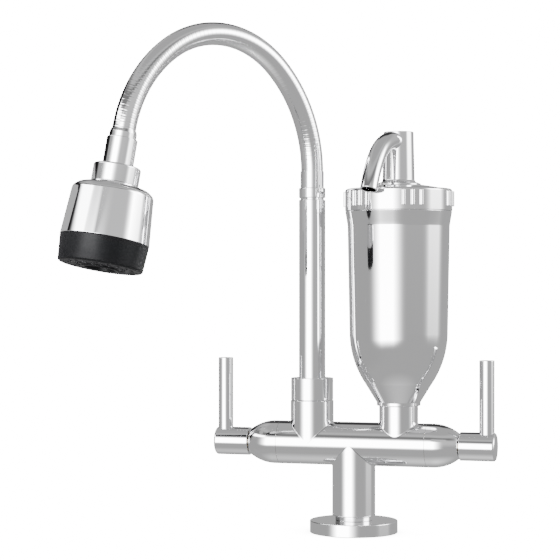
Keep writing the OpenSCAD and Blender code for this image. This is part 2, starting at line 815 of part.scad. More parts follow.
// The wound metal hose, one solid whose outer face rises and falls along a helix
module hose_winding() {
    sides = 20;
    start = relief;
    wound_len = hose_len - 2 * start;
    turns = round(wound_len / hose_pitch) - 1;
    pitch = wound_len / (turns + 1);
    rows = 2 * turns;
    inner_rows = 40;
    last_s = start + (turns + 1) * pitch;
    outer = [
        for (i = [0:rows], j = [0:sides - 1])
            round_point(
                along(hose_start, hose_steps, start + (i / 2 + j / sides) * pitch),
                360 * j / sides, hose_d / 2 - (i % 2 == 0 ? groove_depth : 0)
            )
    ];
    inner = [
        for (i = [0:inner_rows], j = [0:sides - 1])
            round_point(
                along(hose_start, hose_steps, start + (last_s - start) * i / inner_rows),
                360 * j / sides, winding_bore / 2
            )
    ];
    // A row's last side is followed by the first side of the row two higher
    function o(i, j) = j < sides ? i * sides + j : (i + 2) * sides;
    function n(i, j) = len(outer) + i * sides + j % sides;
    skin = [
        for (i = [0:rows - 1], j = [0:sides - 1])
            if (j < sides - 1 || i + 3 <= rows)
                each [[o(i, j), o(i + 1, j), o(i + 1, j + 1)], [o(i, j), o(i + 1, j + 1), o(i, j + 1)]]
    ];
    bore_skin = [
        for (i = [0:inner_rows - 1], j = [0:sides - 1])
            each [[n(i, j), n(i + 1, j + 1), n(i + 1, j)], [n(i, j), n(i, j + 1), n(i + 1, j + 1)]]
    ];
    low_cap = [
        for (j = [0:sides - 1])
            each [[o(0, j), o(0, j + 1), n(0, j + 1)], [o(0, j), n(0, j + 1), n(0, j)]],
        [o(2, 0), o(1, 0), n(0, 0)],
        [o(1, 0), o(0, 0), n(0, 0)]
    ];
    e = rows;
    m = inner_rows;
    k = sides - 1;
    high_cap = [
        for (j = [0:k - 1])
            each [[o(e, j), n(m, j), n(m, j + 1)], [o(e, j), n(m, j + 1), o(e, j + 1)]],
        [o(e, k), n(m, k), n(m, 0)],
        [o(e, k), n(m, 0), o(e - 1, k)],
        [o(e - 1, k), n(m, 0), o(e - 2, k)],
        [o(e - 2, k), n(m, 0), o(e, 0)]
    ];
    color(chrome)
        at_riser() polyhedron(concat(outer, inner), concat(skin, bore_skin, low_cap, high_cap));
}

// A tube swept along a centre line from the length first_s to last_s, as one closed solid
module swept_tube(start, steps, first_s, last_s, rings, sides, outer, inner) {
    radii = [outer / 2, inner / 2];
    points = [
        for (r = radii, i = [0:rings], j = [0:sides - 1])
            round_point(along(start, steps, first_s + (last_s - first_s) * i / rings), 360 * j / sides, r)
    ];
    function v(k, i, j) = (k * (rings + 1) + i) * sides + j % sides;
    outside = [
        for (i = [0:rings - 1], j = [0:sides - 1])
            each [
                [v(0, i, j), v(0, i + 1, j), v(0, i + 1, j + 1)],
                [v(0, i, j), v(0, i + 1, j + 1), v(0, i, j + 1)]
            ]
    ];
    inside = [
        for (i = [0:rings - 1], j = [0:sides - 1])
            each [
                [v(1, i, j), v(1, i + 1, j + 1), v(1, i + 1, j)],
                [v(1, i, j), v(1, i, j + 1), v(1, i + 1, j + 1)]
            ]
    ];
    ends = [
        for (j = [0:sides - 1])
            each [
                [v(0, 0, j), v(0, 0, j + 1), v(1, 0, j + 1)],
                [v(0, 0, j), v(1, 0, j + 1), v(1, 0, j)],
                [v(0, rings, j), v(1, rings, j), v(1, rings, j + 1)],
                [v(0, rings, j), v(1, rings, j + 1), v(0, rings, j + 1)]
            ]
    ];
    polyhedron(points, concat(outside, inside, ends));
}

// The water tube inside the winding
module water_tube() {
    bore = water_tube_d - 2 * water_tube_wall;
    last_s = hose_len - relief;
    color(rubber)
        at_riser() swept_tube(hose_start, hose_steps, relief, last_s, 60, tube_sides, water_tube_d, bore);
}

module head_ferrule() {
    top_r = crimp_d / 2 + 2 * seat_gap;
    low_r = sleeve_d / 2 - 1.2;
    flare_end_s = 2.2;
    color(chrome)
        at_head()
            rotate_extrude()
                difference() {
                    union() {
                        polygon([[0, 0], [top_r, 0], [low_r, flare_end_s], [low_r, sleeve_s], [0, sleeve_s]]);
                        translate([0, sleeve_s - over]) square([head_plug_d / 2, head_plug_h + over]);
                    }
                    translate([0, -over])
                        square([hose_d / 2 + 2 * seat_gap, hose_in_ferrule + 2 * seat_gap + over]);
                    square([head_bore_d / 2 - 2 * relief, sleeve_s + head_plug_h + over]);
                }
}

module ball_sleeve() {
    color(chrome)
        at_head()
            difference() {
                union() {
                    rotate_extrude()
                        polygon([
                            [0, sleeve_s + seat_gap], [sleeve_d / 2 - edge_r, sleeve_s + seat_gap],
                            [sleeve_d / 2, sleeve_s + edge_r], [sleeve_d / 2, sleeve_end_s],
                            [0, sleeve_end_s]
                        ]);
                    intersection() {
                        translate([0, 0, ball_s]) sphere(d = ball_d);
                        bar(ball_d + over, sleeve_end_s - over, ball_end_s);
                    }
                }
                bar(head_plug_d + 2 * seat_gap, sleeve_s - over, sleeve_s + head_plug_h + 2 * seat_gap);
                bar(head_bore_d, sleeve_s, ball_end_s + over);
            }
}

module ball_seal() {
    color(rubber)
        at_head()
            difference() {
                tube(ball_d - 0.8, ball_seal_bore_d, seal_s, seal_s + seal_h);
                translate([0, 0, ball_s]) sphere(d = ball_d + 2 * ball_gap);
            }
}

module ball_nut() {
    edge = ball_nut_round;
    mouth_h = 2.8;
    color(chrome)
        at_head()
            difference() {
                rotate_extrude()
                    union() {
                        translate([0, ball_nut_s]) square([ball_nut_d / 2 - edge, ball_nut_h]);
                        translate([0, ball_nut_s + edge]) square([ball_nut_d / 2, ball_nut_h - edge]);
                        translate([ball_nut_d / 2 - edge, ball_nut_s + edge]) circle(r = edge);
                    }
                translate([0, 0, ball_nut_s - over])
                    cylinder(h = mouth_h + over, d1 = neck_hole_d + mouth_h, d2 = neck_hole_d);
                bar(neck_hole_d, ball_nut_s, ball_s);
                translate([0, 0, ball_s]) sphere(d = ball_d + 2 * ball_gap);
                bar(ball_d + 2 * ball_gap, ball_s, shell_s + over);
                bar(ball_nut_d - 2 * ball_nut_wall, shell_s - shell_neck_h - relief, shell_s + over);
            }
}

// Half section of the head's shell, grown inwards by a wall
module shell_half(inset) {
    top_r = shell_top_d / 2;
    low_r = shell_low_d / 2;
    end_s = shell_end_s + (inset > 0 ? over : 0);
    polygon([
        [0, shell_s + inset], [ball_nut_d / 2 - 2 * relief, shell_s + inset],
        [top_r - shoulder_r, shell_s + shoulder_h + inset],
        [top_r - inset, shell_corner_s],
        [low_r - inset + (end_s - shell_end_s) * shell_spread, end_s],
        [0, end_s]
    ]);
    translate([top_r - shoulder_r, shell_corner_s]) circle(r = shoulder_r - inset);
}

module head_shell() {
    color(chrome)
        at_head()
            rotate_extrude()
                difference() {
                    union() {
                        shell_half(0);
                        translate([0, shell_s - shell_neck_h])
                            square([shell_neck_d / 2, shell_neck_h + over]);
                    }
                    difference() {
                        shell_half(shell_wall);
                        translate([0, shell_s])
                            square([ball_d / 2 + shell_wall, shell_web_s + shell_web_h - shell_s]);
                    }
                    translate([0, shell_s - shell_neck_h - over])
                        square([ball_d / 2 + relief, shell_web_s - shell_s + shell_neck_h + over]);
                    square([web_bore_d / 2, shell_end_s]);
                }
}

module jet_core() {
    color(plastic)
        at_head()
            difference() {
                union() {
                    bar(web_bore_d - 2 * seat_gap, shell_web_s + relief, core_s + over);
                    bar(core_tail_d, core_s, core_end_s);
                }
                bar(core_bore_d, shell_web_s, core_end_s + over);
            }
}

module selector_ring() {
    top_r = selector_top_d / 2;
    low_r = selector_low_d / 2;
    top_s = shell_end_s + seam / 2;
    color(black)
        at_head()
            difference() {
                rotate_extrude()
                    difference() {
                        union() {
                            polygon([
                                [0, top_s], [top_r, top_s], [low_r, selector_end_s - selector_round],
                                [low_r - selector_round, selector_end_s], [0, selector_end_s]
                            ]);
                            translate([low_r - selector_round, selector_end_s - selector_round])
                                circle(r = selector_round);
                            translate([0, shell_end_s - spigot_h]) square([spigot_d / 2, spigot_h + over]);
                        }
                        square([plate_d / 2, selector_end_s + over]);
                    }
                oring_groove(selector_oring_d, selector_oring_s);
            }
}

module selector_oring() {
    color(rubber)
        at_head() oring(selector_oring_d, selector_oring_s);
}

module spray_plate() {
    rows_r = [outlet_d / 2 + 3.6, plate_d / 2 - 3];
    hole_d = 1;
    color(black)
        at_head()
            difference() {
                union() {
                    tube(plate_d - 2 * seat_gap, outlet_d + 2 * seat_gap, plate_s, plate_s + plate_h);
                    for (r = rows_r, a = [0:360 / nozzle_count:359])
                        rotate(a)
                            translate([r, 0, plate_s + plate_h - relief])
                                cylinder(h = nozzle_tip_h + relief, d1 = 2.6 * hole_d, d2 = 2 * hole_d);
                }
                for (r = rows_r, a = [0:360 / nozzle_count:359])
                    rotate(a)
                        translate([r, 0, plate_s - over])
                            cylinder(h = plate_h + nozzle_tip_h + 2 * over, d = hole_d);
            }
}

module aerator_housing() {
    color(black)
        at_head()
            difference() {
                rotate_extrude()
                    difference() {
                        rounded_half(outlet_d / 2, aerator_s, selector_end_s + outlet_stand, edge_r);
                        square([core_tail_d / 2 + run_gap, plate_s]);
                    }
                bar(core_tail_d - 2 * mesh_ledge, shell_end_s, selector_end_s + outlet_stand + over);
            }
}

module aerator_mesh() {
    color(steel)
        at_head()
            translate([0, 0, plate_s - mesh_h - seat_gap])
                linear_extrude(mesh_h)
                    difference() {
                        circle(d = core_tail_d);
                        for (x = [-3:3], y = [-3:3])
                            if (norm([x, y]) * mesh_pitch < core_tail_d / 2 - mesh_hole)
                                translate([x * mesh_pitch, y * mesh_pitch]) square(mesh_hole, center = true);
                    }
}

// Half section of the canister's vessel, grown inwards by a wall, from its foot to its side's top
module vessel_half(inset, foot_r, foot_z) {
    low = bowl_point(cone_slope, inset);
    high = bowl_point(side_slope, inset);
    side_r = canister_d / 2 - inset / cos(side_slope);
    cone_r = low[0] - (low[1] - foot_z) * tan(cone_slope);
    polygon([
        [0, foot_z], [inset > 0 ? cone_r : foot_r, foot_z],
        [inset > 0 ? cone_r : foot_r, inset > 0 ? foot_z : cone_foot_z],
        low, high, [side_r, canister_z], [0, canister_z]
    ]);
    intersection() {
        translate([0, low[1]]) square([canister_d, high[1] - low[1]]);
        translate([bowl_centre_r, bowl_centre_z]) circle(r = bowl_r - inset, $fn = 180);
    }
}

module canister() {
    side_r = canister_d / 2;
    inner_r = side_r - canister_wall;
    color(chrome)
        at_filter()
            rotate_extrude()
                difference() {
                    union() {
                        vessel_half(0, lip_d / 2, neck_z + 2 * seat_gap);
                        polygon([
                            [0, canister_z - over], [side_r, canister_z - over], [side_r, canister_z],
                            [side_r + relief, canister_z + flare_h / 5],
                            [cap_ring_d / 2 - edge_r, shoulder_z - flare_h / 4],
                            [cap_ring_d / 2 - 2 * seat_gap, shoulder_z], [0, shoulder_z]
                        ]);
                        translate([0, shoulder_z - over])
                            square([thread_neck_d / 2, rim_z - shoulder_z + over]);
                    }
                    vessel_half(canister_wall, 0, floor_z);
                    translate([0, canister_z - over]) square([inner_r, rim_z - canister_z + 2 * over]);
                    square([stub_d / 2 + run_gap, floor_z + over]);
                    square([stub_gasket_d / 2, neck_z + stub_gasket_h]);
                }
}

module canister_gasket() {
    color(rubber)
        at_filter()
            tube(stub_gasket_d - 2 * relief, stub_d + 2 * relief,
                neck_z + seat_gap, neck_z + stub_gasket_h - seat_gap);
}

module block_bottom_cap() {
    color(plastic)
        at_filter()
            difference() {
                union() {
                    bar(block_d + 2 * cap_wall, block_z - cap_t, block_z + cap_skirt_h);
                    bar(block_foot_d, floor_z + seat_gap, block_z - cap_t + over);
                }
                bar(block_d + 2 * mesh_gap, block_z, block_z + cap_skirt_h + over);
                bar(block_foot_d - 2 * block_foot_wall, floor_z - over, block_z - cap_t);
                for (a = [0, 90])
                    rotate(a)
                        translate([-block_foot_d, -foot_slot_w / 2, floor_z - over])
                            cube([2 * block_foot_d, foot_slot_w, foot_slot_w + over]);
            }
}

module carbon_block() {
    color(carbon) at_filter() tube(block_d, block_bore_d, block_z + mesh_gap, block_top_z);
}

module block_top_cap() {
    spigot_end_z = lid_boss_z + top_spigot_h;
    color(plastic)
        at_filter()
            difference() {
                union() {
                    bar(block_d + 2 * cap_wall, block_top_z - cap_skirt_h, block_top_z + cap_t);
                    bar(top_spigot_d - 2 * run_gap, block_top_z + cap_t - over, spigot_end_z);
                }
                bar(block_d + 2 * mesh_gap, block_top_z - cap_skirt_h - over, block_top_z + mesh_gap);
                bar(post_bore_d, block_top_z - over, spigot_end_z + over);
                oring_groove(top_spigot_d - 2 * run_gap, block_oring_z);
            }
}

module block_oring() {
    color(rubber) at_filter() oring(top_spigot_d - run_gap, block_oring_z);
}

module filter_lid() {
    dome_z = post_z - seat_gap - sqrt(pow(lid_dome_r, 2) - pow(post_foot_d / 2, 2));
    groove_h = oring_t + 2 * groove_gap;
    color(chrome)
        at_filter()
            rotate_extrude()
                difference() {
                    union() {
                        translate([0, lid_flange_z]) square([thread_neck_d / 2, lid_flange_h]);
                        intersection() {
                            translate([0, lid_flange_z])
                                square([lid_plate_d / 2, post_z - seat_gap - lid_flange_z]);
                            translate([0, dome_z]) circle(r = lid_dome_r, $fn = 180);
                        }
                        translate([0, shoulder_z]) square([skirt_d / 2, lid_flange_z - shoulder_z + over]);
                        translate([0, lid_boss_z]) square([lid_boss_d / 2, lid_boss_h]);
                    }
                    difference() {
                        translate([0, shoulder_z - over])
                            square([skirt_d / 2 - skirt_t, lid_flange_z - shoulder_z]);
                        square([lid_boss_d / 2, lid_flange_z + over]);
                    }
                    translate([skirt_d / 2 - oring_t, lid_groove_z - groove_h / 2])
                        square([oring_t + over, groove_h]);
                    translate([0, lid_boss_z - over])
                        square([top_spigot_d / 2 + mesh_gap, tail_z - lid_boss_z + over]);
                    square([post_tail_d / 2 + run_gap, post_z + over]);
                }
}

module lid_oring() {
    color(rubber) at_filter() oring(skirt_d + 4 * run_gap, lid_groove_z);
}

module cap_ring() {
    middle_rib = (ribs_in_group - 1) / 2;
    color(chrome)
        at_filter()
            difference() {
                union() {
                    rotate_extrude() rounded_half(cap_ring_d / 2, ring_low_z, ring_top_z, ring_round);
                    for (group = [0:rib_groups - 1], i = [0:ribs_in_group - 1])
                        rotate(rib_turn + 360 / rib_groups * group + rib_pitch * (i - middle_rib))
                            translate([cap_ring_d / 2 + relief, 0, rib_z]) cylinder(h = rib_h, r = rib_r);
                }
                bar(thread_neck_d + 2 * run_gap, ring_low_z - over, ring_lip_z);
                bar(ring_hole_d, ring_low_z, ring_top_z + over);
            }
}

module outlet_post() {
    foot_r = post_foot_d / 2;
    color(chrome)
        at_outlet()
            difference() {
                union() {
                    rotate_extrude()
                        polygon([
                            [0, post_z], [foot_r, post_z], [foot_r - 0.2, post_z + 0.5],
                            [foot_r - 2.4, post_z + 1.7], [foot_r - 3.2, post_z + 1.8],
                            [post_d / 2 + 0.7, post_z + 2.3], [post_d / 2, post_z + 3.2],
                            [post_top_d / 2, post_z + post_h - 0.5],
                            [post_top_d / 2 - 0.5, post_z + post_h], [0, post_z + post_h]
                        ]);
                    bar(post_tail_d, tail_z - post_tail_h, post_z + over);
                }
                bar(post_bore_d, tail_z - post_tail_h - over, nozzle_z + nozzle_bore / 3);
                translate([0, 0, nozzle_z])
                    rotate([0, 90, 0]) cylinder(h = nozzle_seat_x, d = nozzle_bore - 2);
                translate([nozzle_seat_x - relief, 0, nozzle_z])
                    rotate([0, 90, 0]) cylinder(h = post_d, d = nozzle_d + 4 * run_gap);
                oring_groove(post_tail_d, post_oring_z);
                tube(post_tail_d + over, post_tail_d - 2 * clip_depth - 2 * seat_gap,
                    clip_z - 2 * seat_gap, clip_z + post_clip_t + 2 * seat_gap);
            }
}

module outlet_nozzle() {
    steps = [
        [0, nozzle_run - nozzle_seat_x],
        [nozzle_radii[0], nozzle_angles[0]],
        [nozzle_radii[1], nozzle_angles[1]]
    ];
    color(chrome)
        at_outlet()
            swept_tube([nozzle_seat_x, nozzle_z, 90], steps, 0, path_len(steps),
                18, 24, nozzle_d, nozzle_bore);
}

module post_oring() {
    color(rubber) at_outlet() oring(post_tail_d + run_gap, post_oring_z);
}

module post_clip() {
    color(steel)
        at_outlet()
            difference() {
                tube(post_tail_d + 2 * clip_stand, post_tail_d - 2 * clip_depth,
                    clip_z, clip_z + post_clip_t);
                translate([-post_tail_d, -clip_gap / 2, clip_z - over])
                    cube([post_tail_d, clip_gap, post_clip_t + 2 * over]);
            }
}

base_flange();
base_gasket();
lock_ring();
body_casting();
bonnet(-1);  // bonnet_left
bonnet(1);  // bonnet_right
cartridge(-1);  // cartridge_left
cartridge(1);  // cartridge_right
seat_seal(-1);  // seat_seal_left
seat_seal(1);  // seat_seal_right
fixed_disc(-1);  // fixed_disc_left
fixed_disc(1);  // fixed_disc_right
turning_disc(-1);  // turning_disc_left
turning_disc(1);  // turning_disc_right
spindle(-1);  // spindle_left
spindle(1);  // spindle_right
spindle_orings(-1);  // spindle_orings_left
spindle_orings(1);  // spindle_orings_right
spindle_clip(-1);  // spindle_clip_left
spindle_clip(1);  // spindle_clip_right
handle_hub(-1);  // handle_hub_left
handle_hub(1);  // handle_hub_right
lever(-1);  // lever_left
lever(1);  // lever_right
grub_screw(-1);  // grub_screw_left
grub_screw(1);  // grub_screw_right
spout_nut();
swivel_washers();
spout_tail();
spout_orings();
riser_tube();
riser_ferrule();
hose_winding();
water_tube();
head_ferrule();
ball_sleeve();
ball_seal();
ball_nut();
head_shell();
jet_core();
selector_ring();
selector_oring();
spray_plate();
aerator_housing();
aerator_mesh();
canister();
canister_gasket();
block_bottom_cap();
carbon_block();
block_top_cap();
block_oring();
filter_lid();
lid_oring();
cap_ring();
outlet_post();
outlet_nozzle();
post_oring();
post_clip();
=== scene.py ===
import bpy
import json
import math
from mathutils import Matrix, Vector


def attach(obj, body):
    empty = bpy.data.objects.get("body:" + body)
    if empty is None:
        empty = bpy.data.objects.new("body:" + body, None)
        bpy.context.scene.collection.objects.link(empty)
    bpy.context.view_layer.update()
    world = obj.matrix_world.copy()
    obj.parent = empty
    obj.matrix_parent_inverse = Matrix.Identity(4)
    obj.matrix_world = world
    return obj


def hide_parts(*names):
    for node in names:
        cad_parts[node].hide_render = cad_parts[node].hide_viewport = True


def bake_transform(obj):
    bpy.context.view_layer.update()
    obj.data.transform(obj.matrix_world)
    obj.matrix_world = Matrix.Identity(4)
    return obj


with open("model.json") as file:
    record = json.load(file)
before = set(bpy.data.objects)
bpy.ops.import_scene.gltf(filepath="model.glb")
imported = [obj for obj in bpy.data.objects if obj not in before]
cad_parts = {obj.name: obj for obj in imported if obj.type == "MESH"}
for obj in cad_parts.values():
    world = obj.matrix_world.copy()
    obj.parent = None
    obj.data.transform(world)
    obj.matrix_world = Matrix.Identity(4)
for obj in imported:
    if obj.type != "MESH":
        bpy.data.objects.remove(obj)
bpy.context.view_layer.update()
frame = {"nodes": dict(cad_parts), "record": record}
mm = 0.001
print("stage: frame loaded,", len(frame["nodes"]), "nodes")

# camera, at the photograph's height and angle
photo = {"focalPixels": 1815.0, "imagePixels": 560.0, "turn": 16.0, "place": (0.3092, -1.271, 0.1814)}
camData = bpy.data.cameras.new("photoCamera")
camData.sensor_width = 36.0
camData.lens = photo["focalPixels"] / photo["imagePixels"] * camData.sensor_width
camData.clip_end = 60.0
cam = bpy.data.objects.new("photoCamera", camData)
cam.location = photo["place"]
cam.rotation_euler = (math.radians(90), 0, math.radians(photo["turn"]))
bpy.context.collection.objects.link(cam)
bpy.context.scene.camera = cam


# node helpers
def newSocket(group, name, way, kind, value=None):
    sock = group.interface.new_socket(name=name, in_out=way, socket_type=kind)
    if value is not None:
        sock.default_value = value
    return sock


def addNode(tree, kind, **settings):
    node = tree.nodes.new(kind)
    for key, value in settings.items():
        setattr(node, key, value)
    return node


def mathNode(tree, operation, a, b=None, clamp=False):
    node = addNode(tree, "ShaderNodeMath", operation=operation, use_clamp=clamp)
    for i, value in enumerate((a, b)):
        if value is None:
            continue
        if isinstance(value, (int, float)):
            node.inputs[i].default_value = value
        else:
            tree.links.new(value, node.inputs[i])
    return node.outputs[0]


def rampBetween(tree, value, low, high, toLow=0.0, toHigh=1.0, smooth=True):
    node = addNode(tree, "ShaderNodeMapRange")
    node.interpolation_type = "SMOOTHSTEP" if smooth else "LINEAR"
    tree.links.new(value, node.inputs["Value"])
    for name, given in (("From Min", low), ("From Max", high), ("To Min", toLow), ("To Max", toHigh)):
        if isinstance(given, (int, float)):
            node.inputs[name].default_value = given
        else:
            tree.links.new(given, node.inputs[name])
    return node.outputs["Result"]


# studio: a world of soft light cards, told by their azimuth from the camera and their height
studio = {
    "wall": 0.62, "backdrop": 17.0, "fill": 1.0,
    "cards": [
        # name, azimuth, height, half width, half height, side edge, top edge, falloff, value
        ("floorGlow", 0, -90, 181, 20, 1, 19, 1.3, 1.7),
        ("leftWall", -110, -12, 60, 22, 20, 6, 1, 0.58),
        ("midWall", 18, 20, 46, 15, 10, 9, 1, 1.0),
        ("topBand", -30, 52, 130, 7, 20, 5, 1, 0.85),
        ("rightWall", 128, 24, 26, 15, 10, 6, 1, 0.85),
        ("dimTop", -30, 40, 90, 6, 20, 4, 1, 0.28),
        ("darkLeft", -130, 20, 31, 14, 6, 4, 1, 0.02),
        ("darkBack", 176, 40, 22, 14, 5, 5, 1, 0.05),
        ("rightCard", 84, 17, 26.5, 22, 12.5, 15, 4, 17.0),
        ("softBox", -31, 6.5, 34, 24.2, 19.5, 8.2, 4.5, 20.0),
        ("topRightDim", 0, 31, 24, 6.5, 4, 1.5, 1, 1.0),
        ("topLeftCard", -76, 27.5, 28, 5, 7, 2, 3, 14.0),
    ],
}


def lightCardGroup():
    group = bpy.data.node_groups.new("lightCard", "ShaderNodeTree")
    for name in ("Azimuth", "Height", "Card Azimuth", "Card Height", "Half Width", "Half Height",
                 "Side Edge", "Top Edge", "Falloff"):
        newSocket(group, name, "INPUT", "NodeSocketFloat")
    newSocket(group, "Mask", "OUTPUT", "NodeSocketFloat")
    inn = addNode(group, "NodeGroupInput").outputs
    out = addNode(group, "NodeGroupOutput")
    up = mathNode(group, "SUBTRACT", inn["Height"], inn["Card Height"])
    wrapped = addNode(group, "ShaderNodeMath", operation="WRAP")
    group.links.new(mathNode(group, "SUBTRACT", inn["Azimuth"], inn["Card Azimuth"]), wrapped.inputs[0])
    wrapped.inputs[1].default_value = 180.0
    wrapped.inputs[2].default_value = -180.0
    masks = []
    for value, half, edge in ((wrapped.outputs[0], inn["Half Width"], inn["Side Edge"]),
                              (up, inn["Half Height"], inn["Top Edge"])):
        away = mathNode(group, "ABSOLUTE", value)
        inner = mathNode(group, "SUBTRACT", half, edge)
        outer = mathNode(group, "ADD", half, edge)
        ramp = rampBetween(group, away, inner, outer, 1.0, 0.0, smooth=False)
        masks.append(mathNode(group, "POWER", ramp, inn["Falloff"]))
    group.links.new(mathNode(group, "MULTIPLY", masks[0], masks[1]), out.inputs["Mask"])
    return group


def makeWorld():
    world = bpy.data.worlds.new("studio")
    bpy.context.scene.world = world
    world.use_nodes = True
    tree = world.node_tree
    tree.nodes.clear()
    card = lightCardGroup()
    coords = addNode(tree, "ShaderNodeTexCoord")
    parts = addNode(tree, "ShaderNodeSeparateXYZ")
    tree.links.new(coords.outputs["Generated"], parts.inputs[0])
    degrees = 180 / math.pi
    turn = mathNode(tree, "ARCTAN2", parts.outputs["X"], mathNode(tree, "MULTIPLY", parts.outputs["Y"], -1))
    azimuth = mathNode(tree, "SUBTRACT", mathNode(tree, "MULTIPLY", turn, degrees), photo["turn"])
    height = mathNode(tree, "MULTIPLY", mathNode(tree, "ARCSINE", parts.outputs["Z"]), degrees)
    level = addNode(tree, "ShaderNodeValue").outputs[0]
    level.default_value = studio["wall"]
    for name, cardAz, cardUp, halfW, halfH, sideEdge, topEdge, falloff, value in studio["cards"]:
        node = addNode(tree, "ShaderNodeGroup", node_tree=card, label=name)
        tree.links.new(azimuth, node.inputs["Azimuth"])
        tree.links.new(height, node.inputs["Height"])
        for key, given in (("Card Azimuth", cardAz), ("Card Height", cardUp), ("Half Width", halfW),
                           ("Half Height", halfH), ("Side Edge", sideEdge), ("Top Edge", topEdge),
                           ("Falloff", falloff)):
            node.inputs[key].default_value = given
        mix = addNode(tree, "ShaderNodeMix", data_type="FLOAT")
        tree.links.new(node.outputs["Mask"], mix.inputs["Factor"])
        tree.links.new(level, mix.inputs["A"])
        mix.inputs["B"].default_value = value
        level = mix.outputs["Result"]
    rays = addNode(tree, "ShaderNodeLightPath")
    shown = addNode(tree, "ShaderNodeBackground")
    tree.links.new(level, shown.inputs["Strength"])
    soft = addNode(tree, "ShaderNodeBackground")
    soft.inputs["Strength"].default_value = studio["fill"]
    back = addNode(tree, "ShaderNodeBackground")
    back.inputs["Strength"].default_value = studio["backdrop"]
    back.inputs["Color"].default_value = (1, 1, 1, 1)
    mixGlossy = addNode(tree, "ShaderNodeMixShader")
    tree.links.new(rays.outputs["Is Glossy Ray"], mixGlossy.inputs[0])
    tree.links.new(soft.outputs[0], mixGlossy.inputs[1])
    tree.links.new(shown.outputs[0], mixGlossy.inputs[2])
    mixCamera = addNode(tree, "ShaderNodeMixShader")
    tree.links.new(rays.outputs["Is Camera Ray"], mixCamera.inputs[0])
    tree.links.new(mixGlossy.outputs[0], mixCamera.inputs[1])
    tree.links.new(back.outputs[0], mixCamera.inputs[2])
    tree.links.new(mixCamera.outputs[0], addNode(tree, "ShaderNodeOutputWorld").inputs[0])


makeWorld()

floorSet = {"radius": 8.0, "contact": 0.06, "open": 0.92, "shade": 5.0, "bounce": 0.8}


def makeFloor():
    # pale floor, evenly bright, with a painted soft shadow (its glow dimmed by ambient occlusion) only where the base
    # stands on it
    mesh = bpy.data.meshes.new("floor")
    r = floorSet["radius"]
    mesh.from_pydata([(-r, -r, 0), (r, -r, 0), (r, r, 0), (-r, r, 0)], [], [(0, 1, 2, 3)])
    obj = bpy.data.objects.new("floor", mesh)
    obj.visible_glossy = False
    bpy.context.collection.objects.link(obj)
    mat = bpy.data.materials.new("floorPaper")
    mat.use_nodes = True
    tree = mat.node_tree
    tree.nodes.clear()
    # painted shadow: the floor's emission falls towards the shade level where ambient occlusion finds the base close by
    shade = addNode(tree, "ShaderNodeAmbientOcclusion", samples=8)
    shade.inputs["Distance"].default_value = floorSet["contact"]
    level = rampBetween(tree, shade.outputs["AO"], 0.0, floorSet["open"], floorSet["shade"], studio["backdrop"])
    shown = addNode(tree, "ShaderNodeEmission")
    tree.links.new(level, shown.inputs["Strength"])
    bounce = addNode(tree, "ShaderNodeEmission")
    bounce.inputs["Strength"].default_value = floorSet["bounce"]
    rays = addNode(tree, "ShaderNodeLightPath")
    pick = addNode(tree, "ShaderNodeMixShader")
    tree.links.new(rays.outputs["Is Camera Ray"], pick.inputs[0])
    tree.links.new(bounce.outputs[0], pick.inputs[1])
    tree.links.new(shown.outputs[0], pick.inputs[2])
    tree.links.new(pick.outputs[0], addNode(tree, "ShaderNodeOutputMaterial").inputs[0])
    mesh.materials.append(mat)


makeFloor()

keyLight = {"place": (-0.9, -1.3, 1.6), "size": 1.2, "watts": 22.0}


def makeKeyLight():
    data = bpy.data.lights.new("keySoftbox", "AREA")
    data.size = keyLight["size"]
    data.energy = keyLight["watts"]
    obj = bpy.data.objects.new("keySoftbox", data)
    obj.location = keyLight["place"]
    obj.rotation_euler = (Vector((0, 0, 0.15)) - Vector(keyLight["place"])).to_track_quat("-Z", "Y").to_euler()
    obj.visible_glossy = False
    bpy.context.collection.objects.link(obj)


makeKeyLight()

nearCard = {"place": (-0.246, -0.102, 0.252), "faces": (-0.133, -0.141, 0.220), "half": (0.055, 0.030), "value": 0.6}


def makeNearCard():
    # a small grey card beside the head, seen only in its reflections
    mesh = bpy.data.meshes.new("nearCard")
    wide, high = nearCard["half"]
    mesh.from_pydata([(-wide, -high, 0), (wide, -high, 0), (wide, high, 0), (-wide, high, 0)], [], [(0, 1, 2, 3)])
    obj = bpy.data.objects.new("nearCard", mesh)
    obj.location = nearCard["place"]
    away = Vector(nearCard["place"]) - Vector(nearCard["faces"])
    obj.rotation_euler = away.to_track_quat("-Z", "Y").to_euler()
    obj.visible_camera = False
    obj.visible_diffuse = False
    obj.visible_shadow = False
    bpy.context.collection.objects.link(obj)
    mat = bpy.data.materials.new("greyCard")
    mat.use_nodes = True
    tree = mat.node_tree
    tree.nodes.clear()
    shown = addNode(tree, "ShaderNodeEmission")
    shown.inputs["Strength"].default_value = nearCard["value"]
    tree.links.new(shown.outputs[0], addNode(tree, "ShaderNodeOutputMaterial").inputs[0])
    mesh.materials.append(mat)


makeNearCard()
print("stage: camera, studio and floor")


